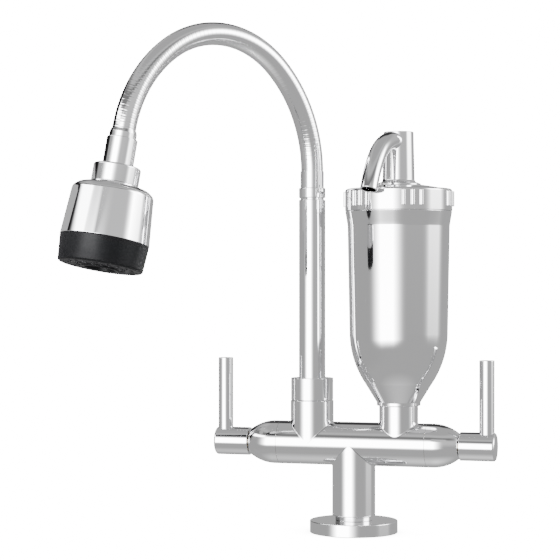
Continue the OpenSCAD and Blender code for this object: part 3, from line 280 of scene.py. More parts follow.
# shared surface effects
def surfaceWearGroup():
    # fine haze and hairlines: a roughness that changes over the surface and a height for the bump
    group = bpy.data.node_groups.new("surfaceWear", "ShaderNodeTree")
    newSocket(group, "Scale", "INPUT", "NodeSocketFloat", 40.0)
    newSocket(group, "Roughness Low", "INPUT", "NodeSocketFloat", 0.04)
    newSocket(group, "Roughness High", "INPUT", "NodeSocketFloat", 0.1)
    newSocket(group, "Grain", "INPUT", "NodeSocketFloat", 0.0)
    newSocket(group, "Roughness", "OUTPUT", "NodeSocketFloat")
    newSocket(group, "Height", "OUTPUT", "NodeSocketFloat")
    inn = addNode(group, "NodeGroupInput").outputs
    out = addNode(group, "NodeGroupOutput")
    coords = addNode(group, "ShaderNodeTexCoord")
    haze = addNode(group, "ShaderNodeTexNoise")
    haze.inputs["Detail"].default_value = 5.0
    haze.inputs["Roughness"].default_value = 0.6
    group.links.new(coords.outputs["Object"], haze.inputs["Vector"])
    group.links.new(inn["Scale"], haze.inputs["Scale"])
    fine = addNode(group, "ShaderNodeTexNoise")
    fine.inputs["Detail"].default_value = 3.0
    group.links.new(coords.outputs["Object"], fine.inputs["Vector"])
    group.links.new(mathNode(group, "MULTIPLY", inn["Scale"], 22.0), fine.inputs["Scale"])
    rough = rampBetween(group, haze.outputs["Fac"], 0.35, 0.7, inn["Roughness Low"], inn["Roughness High"])
    group.links.new(rough, out.inputs["Roughness"])
    group.links.new(mathNode(group, "MULTIPLY", fine.outputs["Fac"], inn["Grain"]), out.inputs["Height"])
    return group


wearGroup = surfaceWearGroup()

finishes = {
    "chrome": {"color": (0.90, 0.90, 0.91), "metal": 1.0, "scale": 30, "rough": (0.035, 0.075), "grain": 0.02,
               "bump": 0.02},
    "brass": {"color": (0.80, 0.62, 0.30), "metal": 1.0, "scale": 60, "rough": (0.18, 0.32), "grain": 0.4, "bump": 0.1},
    "steel": {"color": (0.62, 0.62, 0.64), "metal": 1.0, "scale": 80, "rough": (0.22, 0.36), "grain": 0.4, "bump": 0.1},
    "rubber": {"color": (0.025, 0.025, 0.028), "metal": 0.0, "scale": 90, "rough": (0.55, 0.75), "grain": 0.6,
               "bump": 0.15},
    "ceramic": {"color": (0.86, 0.85, 0.80), "metal": 0.0, "scale": 60, "rough": (0.12, 0.2), "grain": 0.1, "bump": 0.03},
    "white_plastic": {"color": (0.80, 0.80, 0.78), "metal": 0.0, "scale": 70, "rough": (0.35, 0.5), "grain": 0.4,
                      "bump": 0.08},
    "black_plastic": {"color": (0.016, 0.016, 0.018), "metal": 0.0, "scale": 60, "rough": (0.34, 0.46), "grain": 0.5,
                      "bump": 0.06, "specular": 0.12},
    "carbon": {"color": (0.03, 0.03, 0.032), "metal": 0.0, "scale": 140, "rough": (0.8, 0.95), "grain": 1.0, "bump": 0.5},
}
materials = {}


def makeFinish(name, given):
    mat = bpy.data.materials.new(name)
    mat.use_nodes = True
    tree = mat.node_tree
    shader = tree.nodes["Principled BSDF"]
    shader.inputs["Metallic"].default_value = given["metal"]
    shader.inputs["Specular IOR Level"].default_value = given.get("specular", 0.5)
    wear = addNode(tree, "ShaderNodeGroup", node_tree=wearGroup)
    wear.inputs["Scale"].default_value = given["scale"]
    wear.inputs["Roughness Low"].default_value = given["rough"][0]
    wear.inputs["Roughness High"].default_value = given["rough"][1]
    wear.inputs["Grain"].default_value = given["grain"]
    tree.links.new(wear.outputs["Roughness"], shader.inputs["Roughness"])
    bump = addNode(tree, "ShaderNodeBump")
    bump.inputs["Strength"].default_value = given["bump"]
    bump.inputs["Distance"].default_value = 0.0002
    tree.links.new(wear.outputs["Height"], bump.inputs["Height"])
    tree.links.new(bump.outputs["Normal"], shader.inputs["Normal"])
    tint = addNode(tree, "ShaderNodeTexNoise")
    tint.inputs["Scale"].default_value = given["scale"] * 0.5
    coords = addNode(tree, "ShaderNodeTexCoord")
    tree.links.new(coords.outputs["Object"], tint.inputs["Vector"])
    ramp = addNode(tree, "ShaderNodeValToRGB")
    dark = [c * 0.96 for c in given["color"]]
    ramp.color_ramp.elements[0].color = (*dark, 1)
    ramp.color_ramp.elements[1].color = (*given["color"], 1)
    tree.links.new(tint.outputs["Fac"], ramp.inputs["Fac"])
    tree.links.new(ramp.outputs["Color"], shader.inputs["Base Color"])
    materials[name] = mat


for finishName, given in finishes.items():
    makeFinish(finishName, given)

slotOf = {row["node"]: row["material_slot"] for row in frame["record"]["subparts"]}
for nodeName, nodeObject in frame["nodes"].items():
    nodeObject.data.materials.clear()
    nodeObject.data.materials.append(materials[slotOf[nodeName]])
print("stage: materials")

# places: each turns a piece's own axis (along Z, in millimetres) into the frame
tubeHeight = 63.6
riserX = -31.0
filterX = 33.0
spoutTurn = 54.0
nozzleTurn = 77.0
toMetres = Matrix.Scale(mm, 4)
spoutPlace = toMetres @ Matrix.Translation((riserX, 0, 0)) @ Matrix.Rotation(math.radians(180 + spoutTurn), 4, "Z")
filterPlace = toMetres @ Matrix.Translation((filterX, 0, 0))
outletPlace = filterPlace @ Matrix.Rotation(math.radians(180 + nozzleTurn), 4, "Z")


def sidePlace(side):
    turned = Matrix.Rotation(math.radians(90 * side), 4, "Y")
    return toMetres @ Matrix.Translation((0, 0, tubeHeight)) @ turned


# a cut section: corners are (radius, height, rounding), and each becomes an arc
def softened(corners, closed=True):
    points = []
    count = len(corners)
    for i, corner in enumerate(corners):
        here = Vector(corner[:2])
        rounding = corner[2] if len(corner) > 2 else 0.12
        before = Vector(corners[i - 1][:2])
        after = Vector(corners[(i + 1) % count][:2])
        if rounding <= 0 or (not closed and i in (0, count - 1)):
            points.append(here)
            continue
        a = (before - here)
        b = (after - here)
        lengths = (a.length, b.length)
        a.normalize()
        b.normalize()
        half = math.acos(max(-1, min(1, a.dot(b)))) / 2
        if half > math.radians(88.5):
            points.append(here)
            continue
        cut = min(rounding / math.tan(half), lengths[0] * 0.49, lengths[1] * 0.49)
        radius = cut * math.tan(half)
        centre = here + (a + b).normalized() * (radius / math.sin(half))
        first = here + a * cut - centre
        last = here + b * cut - centre
        sweep = math.atan2(first.x * last.y - first.y * last.x, first.dot(last))
        steps = max(2, int(abs(math.degrees(sweep)) / 12 * (1 if radius < 1 else 1.6)))
        for k in range(steps + 1):
            t = sweep * k / steps
            points.append(centre + Vector((
                first.x * math.cos(t) - first.y * math.sin(t), first.x * math.sin(t) + first.y * math.cos(t))))
    return points


def arcPoints(centre, radius, start, end, steps):
    result = []
    for k in range(steps + 1):
        a = math.radians(start + (end - start) * k / steps)
        result.append((centre[0] + radius * math.cos(a), centre[1] + radius * math.sin(a), 0))
    return result


# how smoothly each corner of a section is shaded: long faces rule, so they stay true
def sectionNormals(points):
    count = len(points)
    sides = []
    for i in range(count):
        step = points[(i + 1) % count] - points[i]
        sides.append(Vector((step.y, -step.x)))
    normals = []
    for i in range(count):
        total = sides[i - 1] + sides[i]
        normals.append(total.normalized() if total.length > 1e-9 else Vector((1, 0)))
    return normals


def linkPiece(name, mesh, finish, body, nodes=()):
    obj = bpy.data.objects.new(name, mesh)
    bpy.context.collection.objects.link(obj)
    mesh.materials.clear()
    mesh.materials.append(materials[finish])
    if isinstance(body, tuple):
        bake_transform(obj)
    else:
        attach(obj, body)
    if nodes:
        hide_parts(*nodes)
    return obj


# one closed solid of revolution from a closed section, counter-clockwise with the radius to the right
def turnedData(section, place, sides=192):
    points = [p if isinstance(p, Vector) else Vector(p[:2]) for p in section]
    area = sum(p.x * q.y - q.x * p.y for p, q in zip(points, points[1:] + points[:1]))
    if area < 0:
        points.reverse()
    normals = sectionNormals(points)
    verts, norms, faces, rows = [], [], [], []
    turnOnly = place.to_3x3().normalized()
    for p, n in zip(points, normals):
        if p.x < 1e-6:
            rows.append([len(verts)] * sides)
            verts.append(place @ Vector((0, 0, p.y)))
            norms.append(turnOnly @ Vector((0, 0, 1 if n.y > 0 else -1)))
            continue
        row = []
        for j in range(sides):
            a = 2 * math.pi * j / sides
            row.append(len(verts))
            verts.append(place @ Vector((p.x * math.cos(a), p.x * math.sin(a), p.y)))
            norms.append(turnOnly @ Vector((n.x * math.cos(a), n.x * math.sin(a), n.y)))
        rows.append(row)
    count = len(rows)
    for i in range(count):
        low, high = rows[i], rows[(i + 1) % count]
        if low[0] == low[-1] and high[0] == high[-1]:
            continue
        for j in range(sides):
            k = (j + 1) % sides
            corners = [low[j], low[k], high[k], high[j]]
            face = [c for n, c in enumerate(corners) if c not in corners[:n]]
            faces.append(face)
    if place.to_3x3().determinant() < 0:
        faces = [list(reversed(f)) for f in faces]
    return verts, norms, faces


def meshFrom(name, parts):
    verts, norms, faces = [], [], []
    for partVerts, partNorms, partFaces in parts:
        base = len(verts)
        verts += partVerts
        norms += partNorms
        faces += [[base + i for i in f] for f in partFaces]
    mesh = bpy.data.meshes.new(name)
    mesh.from_pydata(verts, [], faces)
    mesh.validate()
    mesh.shade_smooth()
    mesh.normals_split_custom_set_from_vertices(norms)
    return mesh


def turnedPiece(name, section, place, finish, body, nodes=(), sides=192):
    mesh = meshFrom(name, [turnedData(section, place, sides)])
    return linkPiece(name, mesh, finish, body, nodes)


# base
base = {"flangeR": 31.65, "flangeH": 8.8, "bore": 11.55, "grooveR": 18.0, "ringR": 13.35, "ringTop": 12.0}
turnedPiece("baseFlange", softened([
    (base["bore"], 0), (base["grooveR"], 0), (base["grooveR"], 1.5), (27.65, 1.5), (27.65, 0), (base["flangeR"], 0, 0.5),
    (base["flangeR"], base["flangeH"], 0.6), (base["bore"], base["flangeH"]),
]), toMetres, "chrome", "root", ["base_flange"], 256)
turnedPiece("lockRing", softened([
    (base["bore"], base["flangeH"] + 0.05), (base["ringR"], base["flangeH"] + 0.05, 0.3),
    (base["ringR"], base["ringTop"], 0.3), (base["bore"], base["ringTop"]),
]), toMetres, "chrome", "root", ["lock_ring"])

# body casting: the tube along X, and the stem, socket and neck cut to the tube's surface
body = {
    "tubeR": 15.65, "tubeHalf": 54.3, "stemR": 15.55, "footR": 11.5, "footTop": 12.4, "inletR": 9.3, "inletH": 14.0,
    "socketR": 15.6, "socketTop": 94.4, "socketNeckR": 13.0, "socketNeckTop": 104.4, "socketBore": 10.35,
    "neckR": 13.95, "neckTop": 91.6, "stubR": 10.2, "stubTop": 99.6, "stubBore": 5.75, "weld": 0.5,
}


# a branch of radius r: its section stands on the tube's surface, with a small cove where they meet
def branchData(section, r, place, up, sides=256):
    verts, norms, faces, rows = [], [], [], []
    R, weld = body["tubeR"], body["weld"]
    turnOnly = place.to_3x3().normalized()

    def tubeHeightAt(radius, a, grow):
        across = radius * math.sin(a)
        return math.sqrt(max(0.0, (R + grow) ** 2 - across ** 2))

    def addRow(ring):
        row = []
        for point, normal in ring:
            row.append(len(verts))
            verts.append(place @ Vector(point))
            norms.append((turnOnly @ Vector(normal)).normalized())
        rows.append(row)

    angles = [2 * math.pi * j / sides for j in range(sides)]
    steps = 6
    for k in range(steps + 1):
        t = math.pi / 2 * k / steps
        out = weld * (1 - math.sin(t))
        rise = weld * (1 - math.cos(t))
        ring = []
        for a in angles:
            radius = r + out
            foot = tubeHeightAt(min(radius, R - 0.01), a, 0) - (0.08 if k == 0 else 0)
            spread = (math.cos(a) * math.sin(t), math.sin(a) * math.sin(t))
            tubeNormal = (0, math.sin(a) * radius / R, foot / R)
            ring.append((
                (radius * math.cos(a), radius * math.sin(a), up * (foot + rise)),
                (spread[0] + tubeNormal[0] * math.cos(t), spread[1] + tubeNormal[1] * math.cos(t),
                 up * tubeNormal[2] * math.cos(t)),
            ))
        addRow(ring)
    points = [Vector(p[:2]) for p in section]
    for i, p in enumerate(points):
        before = points[i - 1] if i else Vector((r, 0))
        after = points[i + 1] if i + 1 < len(points) else points[i] + Vector((-1, 0))
        total = Vector((0, 0))
        for step in (p - before, after - p):
            total += Vector((step.y, -step.x)) * up
        total.normalize()
        addRow([((p.x * math.cos(a), p.x * math.sin(a), p.y), (total.x * math.cos(a), total.x * math.sin(a), total.y))
                for a in angles])
    for low, high in zip(rows, rows[1:]):
        for j in range(sides):
            k = (j + 1) % sides
            face = [low[j], low[k], high[k], high[j]]
            faces.append(face if up > 0 else face[::-1])
    cap = rows[-1]
    centre = len(verts)
    verts.append(place @ Vector((0, 0, points[-1].y)))
    norms.append(turnOnly @ Vector((0, 0, up)))
    for j in range(sides):
        face = [cap[j], cap[(j + 1) % sides], centre]
        faces.append(face if up > 0 else face[::-1])
    return verts, norms, faces


def makeBody():
    b = body
    level = tubeHeight
    tubeParts = turnedData(softened([
        (0, -b["tubeHalf"], 0), (b["tubeR"], -b["tubeHalf"], 0.15), (b["tubeR"], b["tubeHalf"], 0.15),
        (0, b["tubeHalf"], 0),
    ]), sidePlace(1), 256)
    stem = softened([
        (b["stemR"], 30 - level), (b["stemR"], b["footTop"] - level, 0.4), (b["footR"], b["footTop"] - level, 0),
        (b["footR"], -level, 0.3), (b["inletR"], -level, 0.5), (b["inletR"], b["inletH"] - level, 0),
        (6.5, b["inletH"] - level, 0), (6.5, -20, 0),
    ], closed=False)
    socket = softened([
        (b["socketR"], b["socketTop"] - 5 - level), (b["socketR"], b["socketTop"] - level, 0.35),
        (b["socketNeckR"], b["socketTop"] - level, 0), (b["socketNeckR"], b["socketNeckTop"] - level, 0.3),
        (b["socketBore"], b["socketNeckTop"] - level, 0.3), (b["socketBore"], 78 - level, 0), (6, 78 - level, 0),
    ], closed=False)
    neck = softened([
        (b["neckR"], b["neckTop"] - 5 - level), (b["neckR"], b["neckTop"] - level, 0.35),
        (b["stubR"], b["neckTop"] - level, 0), (b["stubR"], b["stubTop"] - level, 0.3),
        (b["stubBore"], b["stubTop"] - level, 0.3), (b["stubBore"], 80 - level, 0),
    ], closed=False)
    axis = toMetres @ Matrix.Translation((0, 0, level))
    mesh = meshFrom("bodyCasting", [
        tubeParts,
        branchData(stem, b["stemR"], axis, -1),
        branchData(socket, b["socketR"], toMetres @ Matrix.Translation((riserX, 0, level)), 1),
        branchData(neck, b["neckR"], toMetres @ Matrix.Translation((filterX, 0, level)), 1),
    ])
    linkPiece("bodyCasting", mesh, "chrome", "root", ["body_casting"])


makeBody()

# domed ends, hubs and levers, on both sides
valve = {
    "domeStart": 54.42, "domeStraight": 58.2, "domeEnd": 76.9, "domeArc": 30.0, "domeR": 15.65, "holeR": 7.2,
    "hubStart": 77.6, "hubEnd": 103.2, "hubR": 10.2, "hubRound": 1.8, "hubBore": 4.05, "hubBoreEnd": 92.3,
    "leverAt": 96.6, "leverR": 5.4, "leverFrom": 8.68, "leverTop": 61.1,
}


def makeSide(side, word):
    v = valve
    place = sidePlace(side)
    endAngle = math.degrees(math.asin((v["domeEnd"] - v["domeStraight"]) / v["domeArc"]))
    dome = arcPoints((v["domeR"] - v["domeArc"], v["domeStraight"]), v["domeArc"], 0, endAngle, 36)
    lastR = dome[-1][0]
    inner = arcPoints((v["domeR"] - v["domeArc"], v["domeStraight"]), v["domeArc"] - 3, endAngle - 7, 8, 10)
    section = softened(
        [(10.95, v["domeStart"], 0), (v["domeR"], v["domeStart"], 0.1)] + dome[:-1]
        + [(lastR, v["domeEnd"], 0.3), (v["holeR"], v["domeEnd"], 0.2), (v["holeR"], v["domeEnd"] - 2, 0)]
        + [p for p in inner if v["holeR"] < p[0] < 12.0] + [(10.95, 62.7, 0)])
    turnedPiece("dome_" + word, section, place, "chrome", "root", ["bonnet_" + word], 256)
    body = "handle_" + word
    hub = softened([
        (v["hubBore"], v["hubStart"], 0.1), (v["hubR"], v["hubStart"], 0.6), (v["hubR"], v["hubEnd"], v["hubRound"]),
        (0, v["hubEnd"], 0), (0, v["hubBoreEnd"], 0), (v["hubBore"], v["hubBoreEnd"], 0),
    ])
    turnedPiece("hub_" + word, hub, place, "chrome", body, ["handle_hub_" + word])
    up = toMetres @ Matrix.Translation((side * v["leverAt"], 0, tubeHeight))
    rod = softened([
        (0, v["leverFrom"], 0), (v["leverR"], v["leverFrom"], 0.3), (v["leverR"], v["leverTop"], 0.5),
        (0, v["leverTop"], 0),
    ])
    turnedPiece("leverRod_" + word, rod, up, "chrome", body, ["lever_" + word], 128)


makeSide(-1, "left")
makeSide(1, "right")
print("stage: base, body and handles")

# riser, its nut and the ferrule on top
riser = {"nutR": 15.3, "nutLow": 94.8, "nutTop": 110.7, "tubeR": 9.6, "wall": 1.2, "top": 239.4}
turnedPiece("spoutNut", softened([
    (13.05, riser["nutLow"], 0.1), (riser["nutR"], riser["nutLow"], 0.4), (riser["nutR"], riser["nutTop"], 0.45),
    (9.66, riser["nutTop"], 0.2), (9.66, 108.2, 0), (11.7, 108.2, 0), (11.7, 105.15, 0), (13.05, 105.15, 0),
]), spoutPlace, "chrome", "root", ["spout_nut"])
turnedPiece("riserTube", softened([
    (riser["tubeR"] - riser["wall"], 101.2, 0), (riser["tubeR"], 101.2, 0.2), (riser["tubeR"], riser["top"], 0.35),
    (riser["tubeR"] - riser["wall"], riser["top"], 0),
]), spoutPlace, "chrome", "spout", ["riser_tube"])
turnedPiece("riserFerrule", softened([
    (2.8, 228.4, 0), (8.37, 228.4, 0.2), (8.37, 239.45, 0), (8.5, 239.45, 0), (8.5, 240.8, 0.1),
    (9.6, 240.8, 1.5), (9.6, 248.0, 1.5), (8.5, 248.0, 0.15), (8.5, 260.0, 0.25), (8.15, 260.0, 0), (8.15, 249.9, 0),
    (2.8, 249.9, 0),
]), spoutPlace, "chrome", "spout", ["riser_ferrule"])

# hose: the centre line is worked out from its arcs, and the winding grows along it
hose = {
    "start": 250.0, "straight": 9.5, "radii": (100.0, 74.0, 91.0), "angles": (48.0, 77.0, 43.4), "tail": 1.5,
    "inFerrule": 4.0, "radius": 8.05, "pitch": 3.4, "sides": 48, "ringsPerTurn": 10,
    "groove": 0.07, "grooveWidth": 0.1, "fineGroove": 0.02, "fineWidth": 0.08, "wall": 2.2,
    "waterR": 5.5, "waterWall": 1.5, "bendFrom": (-0.031, 0, 0.260), "bendTo": (-0.1264, -0.1313, 0.2817),
}


def afterStep(place, step, s):
    u, z, heading = place
    radius = step[0]
    if radius == 0:
        return (u + s * math.sin(heading), z + s * math.cos(heading), heading)
    a = s / radius
    return (u + radius * (math.cos(heading) - math.cos(heading + a)),
            z + radius * (math.sin(heading + a) - math.sin(heading)), heading + a)


def stepLength(step):
    return step[1] if step[0] == 0 else step[0] * math.radians(step[1])


def alongPath(place, steps, s):
    for step in steps[:-1]:
        length = stepLength(step)
        if s <= length:
            return afterStep(place, step, s)
        place = afterStep(place, step, length)
        s -= length
    return afterStep(place, steps[-1], s)


hoseStart = (0.0, hose["start"], 0.0)
hoseSteps = [(0, hose["straight"])] + list(zip(hose["radii"], hose["angles"])) + [(0, hose["tail"] + hose["inFerrule"])]
hoseLength = sum(stepLength(step) for step in hoseSteps)
hoseEnd = alongPath(hoseStart, hoseSteps, hoseLength - hose["inFerrule"])
headPlace = spoutPlace @ Matrix.Translation((hoseEnd[0], 0, hoseEnd[1])) @ Matrix.Rotation(hoseEnd[2], 4, "Y")


def pathCurve(name, place, start, steps, spacing, first, last):
    data = bpy.data.curves.new(name, "CURVE")
    data.dimensions = "3D"
    count = int((last - first) / spacing) + 1
    spline = data.splines.new("POLY")
    spline.points.add(count - 1)
    for i in range(count):
        u, z, heading = alongPath(start, steps, first + (last - first) * i / (count - 1))
        spline.points[i].co = (*(place @ Vector((u, 0, z))), 1)
    obj = bpy.data.objects.new(name, data)
    bpy.context.collection.objects.link(obj)
    return obj


def windingTree():
    tree = bpy.data.node_groups.new("hoseWinding", "GeometryNodeTree")
    newSocket(tree, "Geometry", "INPUT", "NodeSocketGeometry")
    for name, value in (("Radius", 0.008), ("Pitch", 0.0034), ("Groove", 0.0004), ("Groove Width", 0.1),
                        ("Fine Groove", 0.0001), ("Fine Width", 0.07)):
        newSocket(tree, name, "INPUT", "NodeSocketFloat", value)
    newSocket(tree, "Rings", "INPUT", "NodeSocketInt", 600)
    newSocket(tree, "Sides", "INPUT", "NodeSocketInt", 48)
    newSocket(tree, "Finish", "INPUT", "NodeSocketMaterial")
    newSocket(tree, "Geometry", "OUTPUT", "NodeSocketGeometry")
    links = tree.links
    inn = addNode(tree, "NodeGroupInput").outputs
    out = addNode(tree, "NodeGroupOutput")
    even = addNode(tree, "GeometryNodeResampleCurve")
    links.new(inn["Geometry"], even.inputs["Curve"])
    links.new(inn["Rings"], even.inputs["Count"])
    spline = addNode(tree, "GeometryNodeSplineParameter")
    keepLength = addNode(tree, "GeometryNodeCaptureAttribute")
    keepLength.capture_items.new("FLOAT", "Length")
    links.new(even.outputs[0], keepLength.inputs["Geometry"])
    links.new(spline.outputs["Length"], keepLength.inputs["Length"])
    ring = addNode(tree, "GeometryNodeCurvePrimitiveCircle")
    links.new(inn["Sides"], ring.inputs["Resolution"])
    links.new(inn["Radius"], ring.inputs["Radius"])
    keepTurn = addNode(tree, "GeometryNodeCaptureAttribute")
    keepTurn.capture_items.new("FLOAT", "Turn")
    links.new(ring.outputs["Curve"], keepTurn.inputs["Geometry"])
    links.new(addNode(tree, "GeometryNodeSplineParameter").outputs["Factor"], keepTurn.inputs["Turn"])
    swept = addNode(tree, "GeometryNodeCurveToMesh")
    links.new(keepLength.outputs["Geometry"], swept.inputs["Curve"])
    links.new(keepTurn.outputs["Geometry"], swept.inputs["Profile Curve"])
    turns = mathNode(tree, "DIVIDE", keepLength.outputs["Length"], inn["Pitch"])
    phase = mathNode(tree, "FRACT", mathNode(tree, "ADD", turns, keepTurn.outputs["Turn"]))
    toEdge = mathNode(tree, "ABSOLUTE", mathNode(tree, "SUBTRACT", phase, 0.5))
    main = rampBetween(tree, mathNode(tree, "SUBTRACT", 0.5, toEdge), 0.0, inn["Groove Width"], 1.0, 0.0)
    fine = rampBetween(tree, toEdge, 0.0, inn["Fine Width"], 1.0, 0.0)
    deep = mathNode(tree, "ADD", mathNode(tree, "MULTIPLY", main, inn["Groove"]),
                    mathNode(tree, "MULTIPLY", fine, inn["Fine Groove"]))
    inward = addNode(tree, "ShaderNodeVectorMath", operation="SCALE")
    links.new(addNode(tree, "GeometryNodeInputNormal").outputs[0], inward.inputs[0])
    links.new(mathNode(tree, "MULTIPLY", deep, -1), inward.inputs["Scale"])
    moved = addNode(tree, "GeometryNodeSetPosition")
    links.new(swept.outputs["Mesh"], moved.inputs["Geometry"])
    links.new(inward.outputs[0], moved.inputs["Offset"])
    smooth = addNode(tree, "GeometryNodeSetShadeSmooth")
    links.new(moved.outputs["Geometry"], smooth.inputs["Geometry"])
    real = addNode(tree, "GeometryNodeRealizeInstances")
    links.new(smooth.outputs["Geometry"], real.inputs["Geometry"])
    painted = addNode(tree, "GeometryNodeSetMaterial")
    links.new(real.outputs["Geometry"], painted.inputs["Geometry"])
    links.new(inn["Finish"], painted.inputs["Material"])
    links.new(painted.outputs["Geometry"], out.inputs["Geometry"])
    return tree


# a tree is set by its sockets' identifiers, evaluated once and kept as a plain mesh
def grownMesh(source, tree, values, name, wall=0.0):
    grow = source.modifiers.new("grow", "NODES")
    grow.node_group = tree
    for item in tree.interface.items_tree:
        if item.in_out == "INPUT" and item.name in values:
            grow[item.identifier] = values[item.name]
    if wall:
        thick = source.modifiers.new("wall", "SOLIDIFY")
        thick.thickness = wall
        thick.offset = -1.0
    depsgraph = bpy.context.evaluated_depsgraph_get()
    mesh = bpy.data.meshes.new_from_object(source.evaluated_get(depsgraph), depsgraph=depsgraph)
    mesh.name = name
    source.modifiers.clear()
    bpy.data.objects.remove(source)
    return mesh


def makeHose():
    source = pathCurve("hosePath", spoutPlace, hoseStart, hoseSteps, 1.0, 0.3, hoseLength - 0.3)
    rings = int(hoseLength / hose["pitch"] * hose["ringsPerTurn"])
    tree = windingTree()
    mesh = grownMesh(source, tree, {
        "Radius": hose["radius"] * mm, "Pitch": hose["pitch"] * mm, "Groove": hose["groove"] * mm,
        "Groove Width": hose["grooveWidth"], "Fine Groove": hose["fineGroove"] * mm, "Fine Width": hose["fineWidth"],
        "Rings": rings, "Sides": hose["sides"], "Finish": materials["chrome"],
    }, "hoseWinding", hose["wall"] * mm)
    linkPiece("hoseWinding", mesh, "chrome", ("spout", "hose_end"), ["hose_winding"])
    source = pathCurve("waterPath", spoutPlace, hoseStart, hoseSteps, 2.0, 0.6, hoseLength - 0.6)
    mesh = grownMesh(source, tree, {
        "Radius": hose["waterR"] * mm, "Groove": 0.0, "Fine Groove": 0.0, "Rings": 140, "Sides": 24,
        "Finish": materials["rubber"],
    }, "waterTube", hose["waterWall"] * mm)
    linkPiece("waterTube", mesh, "rubber", ("spout", "hose_end"), ["water_tube"])


makeHose()
print("stage: riser and hose")

# head
head = {
    "sleeveR": 10.4, "sleeveFrom": 5.85, "ballAt": 33.0, "ballR": 12.6, "nutFrom": 24.8, "nutR": 16.0, "nutEnd": 37.1,
    "shellFrom": 37.1, "topR": 27.6, "lowR": 30.1, "shoulder": 3.2, "shoulderR": 5.5, "shellEnd": 75.7,
    "ringFrom": 75.9, "ringEnd": 93.9, "ringLowR": 28.56, "ringRound": 3.0, "outletR": 12.35,
}


def makeHead():
    h = head
    turnedPiece("headFerrule", softened([
        (8.15, 0, 0.1), (8.6, 0, 0.15), (9.2, 2.2, 0.5), (9.2, 5.8, 0.2), (5.5, 5.8, 0), (5.5, 12.8, 0), (3.0, 12.8, 0),
        (3.0, 4.1, 0), (8.15, 4.1, 0),
    ]), headPlace, "chrome", "hose_end", ["head_ferrule"])
    drop = 26.1 - h["ballAt"]
    ballTop = math.degrees(math.atan2(drop, math.sqrt(h["ballR"] ** 2 - drop ** 2)))
    ball = arcPoints((0, h["ballAt"]), h["ballR"], ballTop, 40.6, 40)
    turnedPiece("ballSleeve", softened([
        (3.5, h["sleeveFrom"] + 7.1, 0), (5.6, h["sleeveFrom"] + 7.1, 0), (5.6, h["sleeveFrom"], 0.1),
        (h["sleeveR"], h["sleeveFrom"], 0.5), (h["sleeveR"], 26.1, 0),
    ] + ball + [(3.5, ball[-1][1], 0.3)]), headPlace, "chrome", "hose_end", ["ball_sleeve"])
    seat = arcPoints((0, h["ballAt"]), h["ballR"] + 0.06, -20, 0, 12)
    turnedPiece("ballNut", softened([
        (13.3, h["nutFrom"], 0.2), (h["nutR"], h["nutFrom"], 4.6), (h["nutR"], h["nutEnd"], 0.25), (14.1, h["nutEnd"], 0),
        (14.1, 33.3, 0), (12.66, 33.3, 0),
    ] + list(reversed(seat)) + [(11.9, 27.6, 0)]), headPlace, "chrome", "head", ["ball_nut"])
    cornerS = h["shellFrom"] + h["shoulder"]
    turnedPiece("headShell", softened([
        (12.9, 33.5, 0), (14.05, 33.5, 0.1), (14.05, h["shellFrom"], 0), (15.6, h["shellFrom"], 0.2),
        (24.0, cornerS - 0.6, 3.0), (h["topR"] - 0.1, cornerS + 2.2, 4.2), (h["lowR"], h["shellEnd"], 0.3),
        (h["lowR"] - 2.2, h["shellEnd"], 0), (h["topR"] - 2.2, cornerS + 5, 2), (20.0, cornerS + 4.0, 0),
        (15.0, 46.05, 0), (7.0, 46.05, 0), (7.0, 43.3, 0), (12.9, 43.3, 0),
    ]), headPlace, "chrome", "head", ["head_shell"], 256)
    turnedPiece("selectorRing", softened([
        (24.4, 70.7, 0), (27.6, 70.7, 0.3), (27.6, h["ringFrom"], 0), (h["lowR"] - 0.1, h["ringFrom"], 0.35),
        (h["ringLowR"], h["ringEnd"], h["ringRound"]), (24.9, h["ringEnd"] - 0.1, 0.4), (24.9, 91.0, 0), (24.4, 91.0, 0),
    ]), headPlace, "black_plastic", "selector", ["selector_ring"], 256)
    turnedPiece("sprayPlate", softened([
        (12.45, 91.3, 0), (24.85, 91.3, 0), (24.85, 93.4, 0.3), (21.5, 93.7, 2), (15.0, 93.5, 2), (12.45, 93.9, 0.3),
    ]), headPlace, "black_plastic", "selector", ["spray_plate"])
    turnedPiece("aeratorHousing", softened([
        (9.65, 77.3, 0), (h["outletR"], 77.3, 0.3), (h["outletR"], 94.9, 0.7), (10.6, 94.9, 0.4), (10.2, 91.4, 0.3),
        (9.65, 91.2, 0),
    ]), headPlace, "black_plastic", "selector", ["aerator_housing"])


makeHead()


